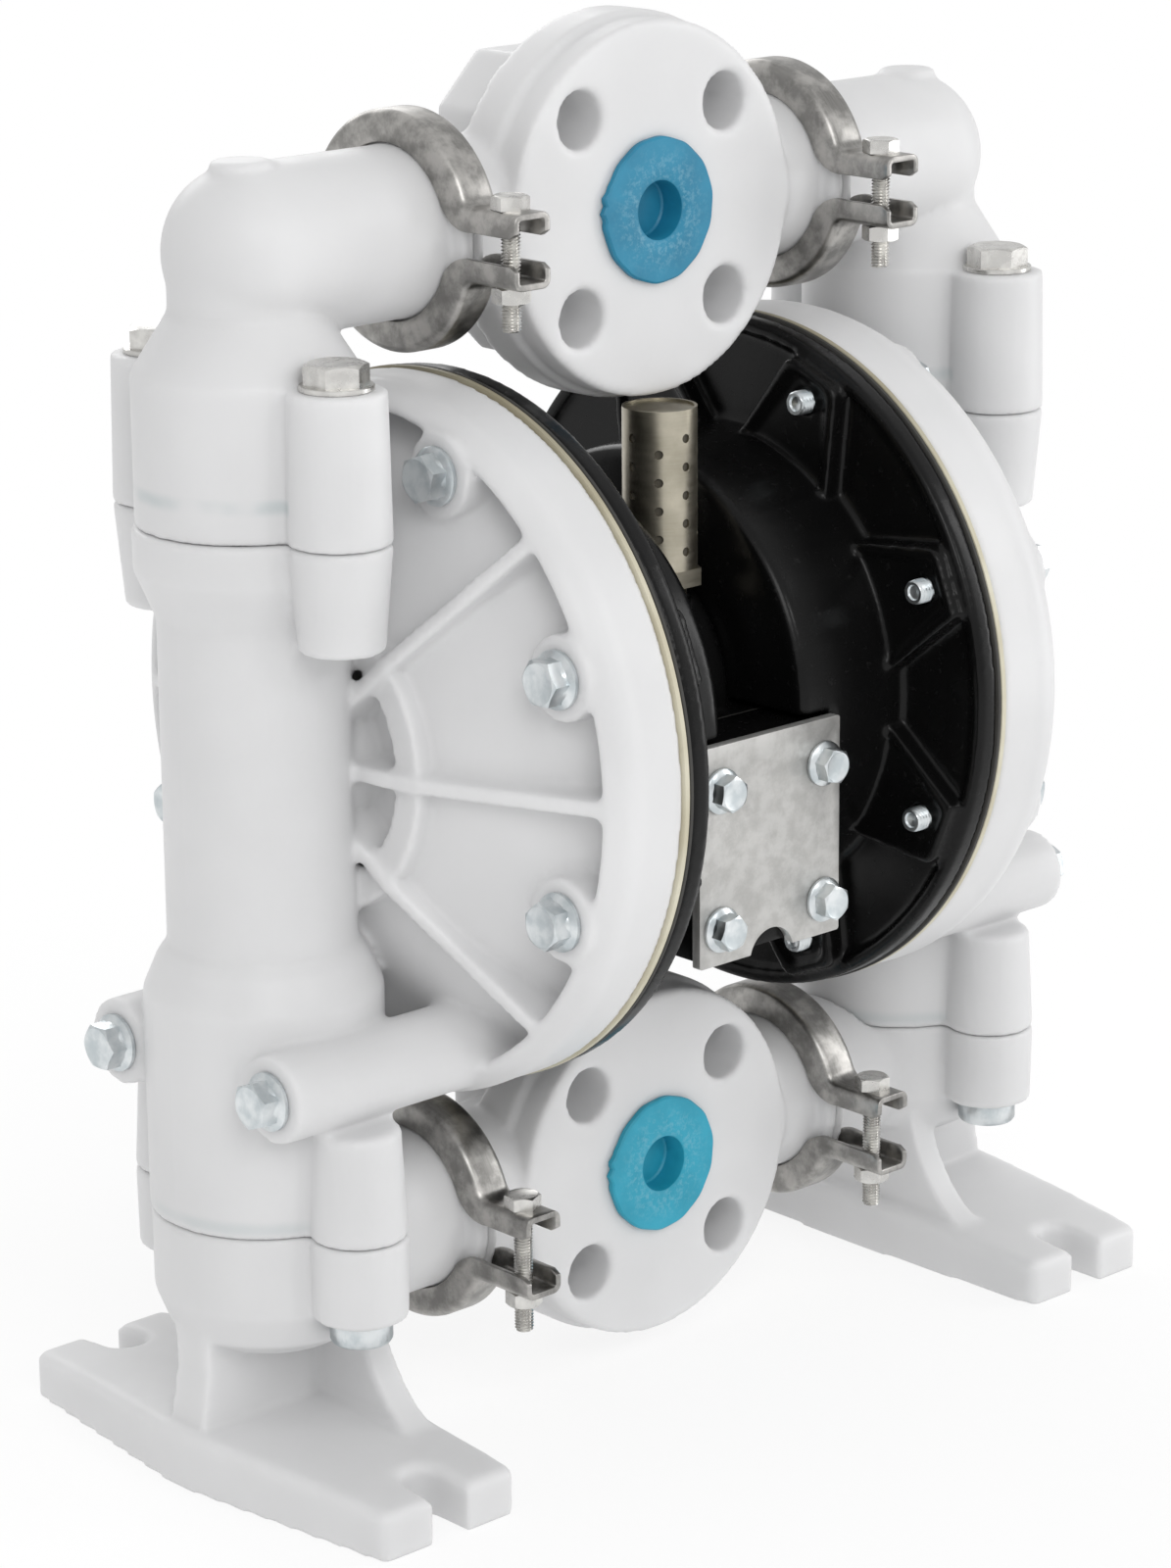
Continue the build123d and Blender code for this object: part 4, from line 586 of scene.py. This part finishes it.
# ---- Mouldings ---------------------------------------------------------------
def make_mouldings():
    for node in CARRIED[0][1]:
        settle(moulded(node, 1.3, 5), MILKY, node)
    for node in both("air_cap"):
        settle(moulded(node, 1.1, 3), BLACK, node)
    settle(moulded("centre_body", 1.1, 3), BLACK, "centre_body")


# ---- Fasteners ---------------------------------------------------------------
def make_cap_bolts():
    """Flange bolts through the caps: heads outside, thread ends by the stud pads."""
    for side_name, side in SIDES:
        sheet = Sheet()
        for number, angle in enumerate(BOLT_ANGLES):
            head_x = LONG_BOSS_X if angle in LOW_ANGLES else CAP_PAD_X
            turned = Matrix.Rotation(0.7 * number, 4, "Z")
            head = frame_on(bolt_seat(side, angle, head_x), (side, 0, 0)) @ turned
            flange_head(sheet, head, 13.0, 8.2, 8.95)
            end = frame_on(bolt_seat(side, angle, STUD_END_X + 16), (-side, 0, 0))
            thread(sheet, end, 4.0, 15.9, 1.25, dimple=2.5)
        settle(sheet.piece(f"{side_name}_cap_bolt_set"), ZINC, f"{side_name}_cap_bolts")


def make_cover_bolts():
    sheet = Sheet()
    for x in (-PLATE_BOLT_X, PLATE_BOLT_X):
        for z in PLATE_BOLT_Z:
            place = frame_on((x, PLATE_FRONT_Y, z), (0, -1, 0)) @ Matrix.Rotation(x + z, 4, "Z")
            flange_head(sheet, place, 10.0, 6.6, 7.1)
    settle(sheet.piece("cover_bolt_set"), ZINC, "cover_bolts")


def make_elbow_bolts():
    heads = Sheet()
    washers = Sheet()
    for x in (-COLUMN_X, COLUMN_X):
        for y in (-UPPER_BOLT_Y, UPPER_BOLT_Y):
            up = frame_on((x, y, UPPER_BOLT_SEAT_Z), (0, 0, 1)) @ Matrix.Rotation(0.3 * x + y, 4, "Z")
            hexagon(heads, up, 17.0, 6.4)
            lathe(washers, up @ Matrix.Translation((0, 0, -1.6)), [
                (5.1, 0.0), (10.8, 0.0), (11.0, 0.2), (11.0, 1.4), (10.8, 1.6), (5.1, 1.6), (5.1, 0.0),
            ])
    settle(heads.piece("elbow_bolt_set"), BRIGHT, "elbow_bolts")
    settle(washers.piece("elbow_washer_set"), BRIGHT, "elbow_washers")


def make_foot_screws():
    """Socket screws under the foot bosses, with knurled heads."""
    sheet = Sheet()
    teeth = 44
    for x in (-COLUMN_X, COLUMN_X):
        for y in (-LOWER_BOLT_Y, LOWER_BOLT_Y):
            down = frame_on((x, y, FOOT_BOSS_Z), (0, 0, -1))
            rows = []
            for radius, height, knurl in (
                (4.0, 0.0, 0), (9.2, 0.0, 0), (9.6, 0.4, 1), (9.6, 6.6, 1),
                (9.0, 7.5, 0), (4.6, 7.5, 0), (4.5, 4.5, 0), (0.01, 4.2, 0),
            ):
                ring = []
                for k in range(2 * teeth):
                    turn = math.pi * k / teeth
                    cut = radius - 0.35 * knurl * (k % 2)
                    if radius < 5 and height > 1:
                        cut = radius / math.cos((turn % (math.pi / 3)) - math.pi / 6)
                    ring.append(down @ Vector((cut * math.cos(turn), cut * math.sin(turn), height)))
                rows.append(ring)
            sheet.grid(rows)
    settle(sheet.piece("foot_screw_set"), ZINC, "foot_screws")


# ---- Clamps ------------------------------------------------------------------
STRIP_T = 2.0
STRIP_WIDTH = 14.0
CLAMP_WEB_R = 35.4
CLAMP_FILLET_R = 5.5
EAR_TIP_Y = 57.0
EAR_TIP_ROUND = 2.5
EAR_OPENING = 11.3
LOW_EAR_OPENING = 15.9
CLAMP_NUT_HEIGHT = 5.0
THREAD_BELOW_NUT = 8.5
RING_LEG = 8.8
EAR_LEG = 6.3
CLAMP_LINES = (("outlet", OUTLET_Z, EAR_OPENING), ("inlet", INLET_Z, LOW_EAR_OPENING))


def clamp_path(ear_z):
    """Middle of the strip in the (y, z) plane with its outward normals, front to rear."""
    fillet_y = math.sqrt((CLAMP_WEB_R + CLAMP_FILLET_R) ** 2 - (ear_z + CLAMP_FILLET_R) ** 2)
    centre = Vector((-fillet_y, ear_z + CLAMP_FILLET_R))
    path = []
    for k in range(9):
        y = -EAR_TIP_Y + (EAR_TIP_Y - fillet_y) * k / 8
        path.append((Vector((y, ear_z)), Vector((0, 1)), 0.0))
    to_ring = math.atan2(-centre.y, -centre.x)
    start = -math.pi / 2
    for k in range(1, 9):
        turn = start + (to_ring - start) * k / 8
        out = Vector((math.cos(turn), math.sin(turn)))
        path.append((centre + out * CLAMP_FILLET_R, -out, k / 8))
    first = math.atan2(centre.y, centre.x)
    arc = 40
    for k in range(1, arc):
        turn = first + (math.pi / 2 - first) * 2 * k / arc
        out = Vector((math.cos(turn), math.sin(turn)))
        path.append((out * CLAMP_WEB_R, out, 1.0))
    mirrored = [(Vector((-p.x, p.y)), Vector((-n.x, n.y)), w) for p, n, w in path[:17]]
    return path + mirrored[::-1]


def channel_section(leg):
    """Strip section as (x, inward) points: leg, rounded corner, web, corner, leg."""
    half = (STRIP_WIDTH - STRIP_T) / 2
    corner = 1.9
    side = [(half, -leg), (half, -0.5 * (leg + corner)), (half, -corner)]
    for k in range(1, 5):
        turn = math.pi / 2 * k / 5
        side.append((half - corner * (1 - math.cos(turn)), -corner * (1 - math.sin(turn))))
    side.append((half - corner, 0.0))
    return [(-x, n) for x, n in side] + [(x, n) for x, n in side[::-1]]


def clamp_strip(name, x, axis_z, up, ear_z):
    """One pressed half clamp as a bent channel of sheet steel."""
    rows = []
    for point, normal, ring in clamp_path(ear_z):
        leg = EAR_LEG + (RING_LEG - EAR_LEG) * ring
        tip = max(0.0, abs(point.x) - EAR_TIP_Y + EAR_TIP_ROUND) / EAR_TIP_ROUND
        leg -= tip * tip * 1.6
        row = []
        for across, inward in channel_section(leg):
            place = point + normal * inward
            row.append((x + across, place.x, axis_z + up * place.y))
        rows.append(row)
    sheet = Sheet()
    sheet.grid(rows, closed_across=False)
    piece = sheet.piece(name, 50)
    skin = piece.modifiers.new("gauge", "SOLIDIFY")
    skin.thickness = STRIP_T * MM
    skin.offset = 0.0
    skin.use_even_offset = True
    edge = piece.modifiers.new("edge", "BEVEL")
    edge.width = 0.35 * MM
    edge.segments = 2
    edge.limit_method = "ANGLE"
    edge.angle_limit = math.radians(50)
    apply_modifiers(piece)
    shade(piece, 50)
    return piece


def make_clamps():
    for line, axis_z, low in CLAMP_LINES:
        for side_name, side in SIDES:
            for half, up, opening in (("upper", 1, EAR_OPENING), ("lower", -1, low)):
                node = f"{side_name}_{line}_clamp_{half}"
                ear_z = opening - STRIP_T / 2
                piece = clamp_strip(f"{node}_strip", side * CLAMP_X, axis_z, up, ear_z)
                settle(piece, STEEL, node)


def make_clamp_bolts():
    bolts = Sheet()
    nuts = Sheet()
    for _, axis_z, low in CLAMP_LINES:
        for x in (-CLAMP_X, CLAMP_X):
            for y in (-CLAMP_BOLT_Y, CLAMP_BOLT_Y):
                spin = Matrix.Rotation(0.35 * x + y, 4, "Z")
                up = frame_on((x, y, axis_z + EAR_OPENING), (0, 0, 1)) @ spin
                hexagon(bolts, up, 10.0, 4.3)
                down = frame_on((x, y, axis_z + EAR_OPENING), (0, 0, -1))
                grip = EAR_OPENING + low
                thread(bolts, down, 3.0, grip + CLAMP_NUT_HEIGHT + THREAD_BELOW_NUT, 1.0)
                nut = frame_on((x, y, axis_z - low - CLAMP_NUT_HEIGHT), (0, 0, 1)) @ spin
                hexagon(nuts, nut, 10.0, CLAMP_NUT_HEIGHT, both_ends=True)
    settle(bolts.piece("clamp_bolt_set"), BRIGHT, "clamp_bolts")
    settle(nuts.piece("clamp_nut_set"), BRIGHT, "clamp_nuts")


# ---- Port plugs --------------------------------------------------------------
PLUG_FLASH_R = 20.0
PLUG_BURR_TURN = math.radians(172)


def make_port_plugs():
    """Push-in plugs with a thin flange, a well and a little moulding flash."""
    for line, axis_z, material in (("outlet", OUTLET_Z, BLUE_TOP), ("inlet", INLET_Z, BLUE_LOW)):
        sheet = Sheet()
        place = frame_on((0, PORT_FACE_Y, axis_z), (0, -1, 0))
        rows = []
        profile = [
            (0.01, -15.0), (11.6, -15.0), (12.4, -14.2), (12.4, 0.0), (21.9, 0.0), (22.3, 0.4),
            (22.3, 1.9), (21.7, 2.4), (17.0, 2.45), (12.5, 2.5), (10.0, 2.4), (9.2, 2.0),
            (9.0, 1.2), (9.0, -6.0), (8.4, -6.6), (0.01, -6.6),
        ]
        steps = 120
        for radius, height in profile:
            ring = []
            for k in range(steps):
                turn = 2 * math.pi * k / steps
                ragged = 0.0
                if radius > PLUG_FLASH_R:
                    ragged = 0.25 * math.sin(9 * turn) * math.sin(5 * turn + 1)
                    burr = max(0.0, math.cos(turn - PLUG_BURR_TURN)) ** 40
                    ragged += burr * (0.9 + 0.7 * math.sin(31 * turn))
                bore = radius + ragged
                ring.append(place @ Vector((bore * math.cos(turn), bore * math.sin(turn), height)))
            rows.append(ring)
        sheet.grid(rows)
        settle(sheet.piece(f"{line}_plug_moulding"), material, f"{line}_port_plug")


# ---- Diaphragms --------------------------------------------------------------
STUD_HOLE_R = 6.05
PLATE_EDGE_R = 52.0
FLEX_START_R = 54.0
FOLD_START_R = 56.0
FOLD_END_R = 78.0
FOLD_SLOPE = 6.0
FOLD_DEPTH = 1.5
CLAMPED_R = 84.0
RIM_OVERHANG = 0.45
SECTORS = 8


def fold_drop(radius):
    """How far the rolled fold dips at a radius."""
    rise = min(radius - FOLD_START_R, FOLD_END_R - radius) / FOLD_SLOPE
    return -FOLD_DEPTH * min(1.0, max(0.0, rise))


def clamped_ring(name, place, thick):
    """The part of a diaphragm between the caps, with rounded edges."""
    edge = RIM_R + RIM_OVERHANG
    sheet = Sheet()
    lathe(sheet, place, [
        (CLAMPED_R, 0.0), (edge - 0.5, 0.0), (edge, 0.3), (edge, thick - 0.3),
        (edge - 0.5, thick), (CLAMPED_R, thick), (CLAMPED_R, 0.0),
    ], 160)
    return sheet.piece(name)


def flexing_sector(name, place, thick, number):
    """One sector of the free disc, from the rod stud out to the clamped ring."""
    radii = [STUD_HOLE_R, 30.0, PLATE_EDGE_R]
    radii += [FLEX_START_R + 2 * k for k in range(15)] + [CLAMPED_R]
    outline = [(r, fold_drop(r)) for r in radii]
    outline += [(r, fold_drop(r) + thick) for r in radii[::-1]]
    steps = 20
    sweep = 2 * math.pi / SECTORS
    rows = []
    for k in range(steps + 1):
        turn = sweep * (number + k / steps)
        rows.append([place @ Vector((r * math.cos(turn), r * math.sin(turn), h)) for r, h in outline])
    sheet = Sheet()
    sheet.grid(rows)
    sheet.cap(rows[0])
    sheet.cap(rows[-1], flip=True)
    return sheet.piece(name)


def make_diaphragms():
    """Discs clamped at their rims, their middles built as separate sectors."""
    for side_name, side in SIDES:
        for name, face_x, thick, material in (
            ("diaphragm", AIR_FACE_X + 1.6, 2.2, CREAM),
            ("backup_diaphragm", AIR_FACE_X, 1.6, RUBBER),
        ):
            node = f"{side_name}_{name}"
            place = frame_on((side * face_x, 0, ROD_Z), (side, 0, 0))
            settle(clamped_ring(f"{node}_rim", place, thick), material, node)
            for number in range(SECTORS):
                piece = flexing_sector(f"{node}_sector_{number}", place, thick, number)
                piece.data.materials.append(material)
                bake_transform(piece)
                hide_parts(node)
                slot_of(node)


# ---- Bevelled plates ---------------------------------------------------------
def bevelled(node, width, material, angle=40.0):
    """A CAD node with its crisp edges rounded."""
    piece = add_mesh(f"{node}_edged", frame["nodes"][node].data.copy())
    form = bmesh.new()
    form.from_mesh(piece.data)
    bmesh.ops.remove_doubles(form, verts=form.verts, dist=0.001 * MM)
    bmesh.ops.dissolve_limit(
        form, angle_limit=math.radians(1.0), verts=form.verts, edges=form.edges, delimit={"NORMAL"}
    )
    form.to_mesh(piece.data)
    form.free()
    edge = piece.modifiers.new("edge", "BEVEL")
    edge.width = width * MM
    edge.segments = 2
    edge.limit_method = "ANGLE"
    edge.angle_limit = math.radians(angle)
    apply_modifiers(piece)
    shade(piece, angle)
    return settle(piece, material, node)


# ---- Stage, light and camera -------------------------------------------------
def make_stage():
    """White floor that keeps the shadow and fades into the background with distance."""
    mesh = bpy.data.meshes.new("floor")
    reach = 9.0
    corners = [(-reach, -reach, 0), (reach, -reach, 0), (reach, reach, 0), (-reach, reach, 0)]
    mesh.from_pydata(corners, [], [(0, 1, 2, 3)])
    floor = add_mesh("floor", mesh)
    skin = Shader("floor_white", Roughness=0.9)
    skin.feed("Base Color", (1.0, 1.0, 1.0))
    glow = skin.node("ShaderNodeEmission", None, {"Color": (1.0, 1.0, 1.0), "Strength": 1.0})
    seen = skin.node("ShaderNodeLightPath", None, None, "Is Camera Ray")
    away_x = skin.axis("X")
    away_y = skin.axis("Y")
    away = (away_x * away_x + away_y * away_y) ** 0.5
    lit = 0.3
    share = lit + seen * (0.5 + 0.2 * away.above(420.0, 200.0))
    plain = Value(skin, skin.surface.outputs[0])
    fade = skin.node("ShaderNodeMixShader", None, {0: share, 1: plain, 2: glow})
    skin.connect(skin.tree.nodes["Material Output"].inputs["Surface"], fade)
    mesh.materials.append(skin.material)


def make_world():
    """Even pale surround: white to the eye, and softer as light and in reflections."""
    world = bpy.data.worlds.new("studio")
    bpy.context.scene.world = world
    world.use_nodes = True
    tree = world.node_tree
    background = tree.nodes["Background"]
    background.inputs["Color"].default_value = (1.0, 1.0, 1.0, 1)
    background.inputs["Strength"].default_value = 0.74
    white = tree.nodes.new("ShaderNodeBackground")
    white.inputs["Color"].default_value = (1, 1, 1, 1)
    path = tree.nodes.new("ShaderNodeLightPath")
    mixed = tree.nodes.new("ShaderNodeMixShader")
    tree.links.new(path.outputs["Is Camera Ray"], mixed.inputs[0])
    tree.links.new(background.outputs[0], mixed.inputs[1])
    tree.links.new(white.outputs[0], mixed.inputs[2])
    tree.links.new(mixed.outputs[0], tree.nodes["World Output"].inputs["Surface"])


def area_light(name, place, target, size, power):
    lamp = bpy.data.lights.new(name, "AREA")
    lamp.shape = "RECTANGLE"
    lamp.size, lamp.size_y = size
    lamp.energy = power
    made = bpy.data.objects.new(name, lamp)
    bpy.context.scene.collection.objects.link(made)
    made.location = place
    made.rotation_euler = (Vector(target) - Vector(place)).to_track_quat("-Z", "Y").to_euler()


def make_lights():
    middle = (0, 0, 0.22)
    area_light("key", (-0.9, -1.3, 1.25), middle, (0.8, 0.8), 8)
    area_light("strip", (1.3, -0.9, 0.6), middle, (0.25, 1.2), 5)
    area_light("rear", (0.4, 1.3, 1.0), middle, (1.2, 0.6), 5)
    area_light("glint", (0.15, -1.6, 1.1), middle, (0.22, 0.22), 2)


def make_camera():
    """Camera at three quarters from the left front, slightly above."""
    azimuth = math.radians(-42.63)
    elevation = math.radians(16.16)
    roll = math.radians(-0.48)
    back = Vector((
        math.sin(azimuth) * math.cos(elevation),
        -math.cos(azimuth) * math.cos(elevation),
        math.sin(elevation),
    ))
    target = Vector((-6.13, 0, 188.6)) * MM
    right = Vector((0, 0, 1)).cross(back).normalized()
    up = back.cross(right)
    x = right * math.cos(roll) + up * math.sin(roll)
    y = up * math.cos(roll) - right * math.sin(roll)
    distance = 1.49412
    lens = bpy.data.cameras.new("camera")
    lens.lens = 107.67
    lens.sensor_width = 36
    camera = bpy.data.objects.new("camera", lens)
    bpy.context.scene.collection.objects.link(camera)
    turn = Matrix((x, y, back)).transposed().to_4x4()
    camera.matrix_world = Matrix.Translation(target + back * distance) @ turn
    bpy.context.scene.camera = camera


make_camera()
make_stage()
make_world()
make_lights()
make_mouldings()
make_cap_bolts()
make_cover_bolts()
make_elbow_bolts()
make_foot_screws()
make_clamps()
make_clamp_bolts()
make_port_plugs()
make_diaphragms()
bevelled("cover_plate", 0.5, PLATE)
bevelled("valve_block", 0.6, BLACK)

bpy.context.scene.view_settings.view_transform = "Standard"
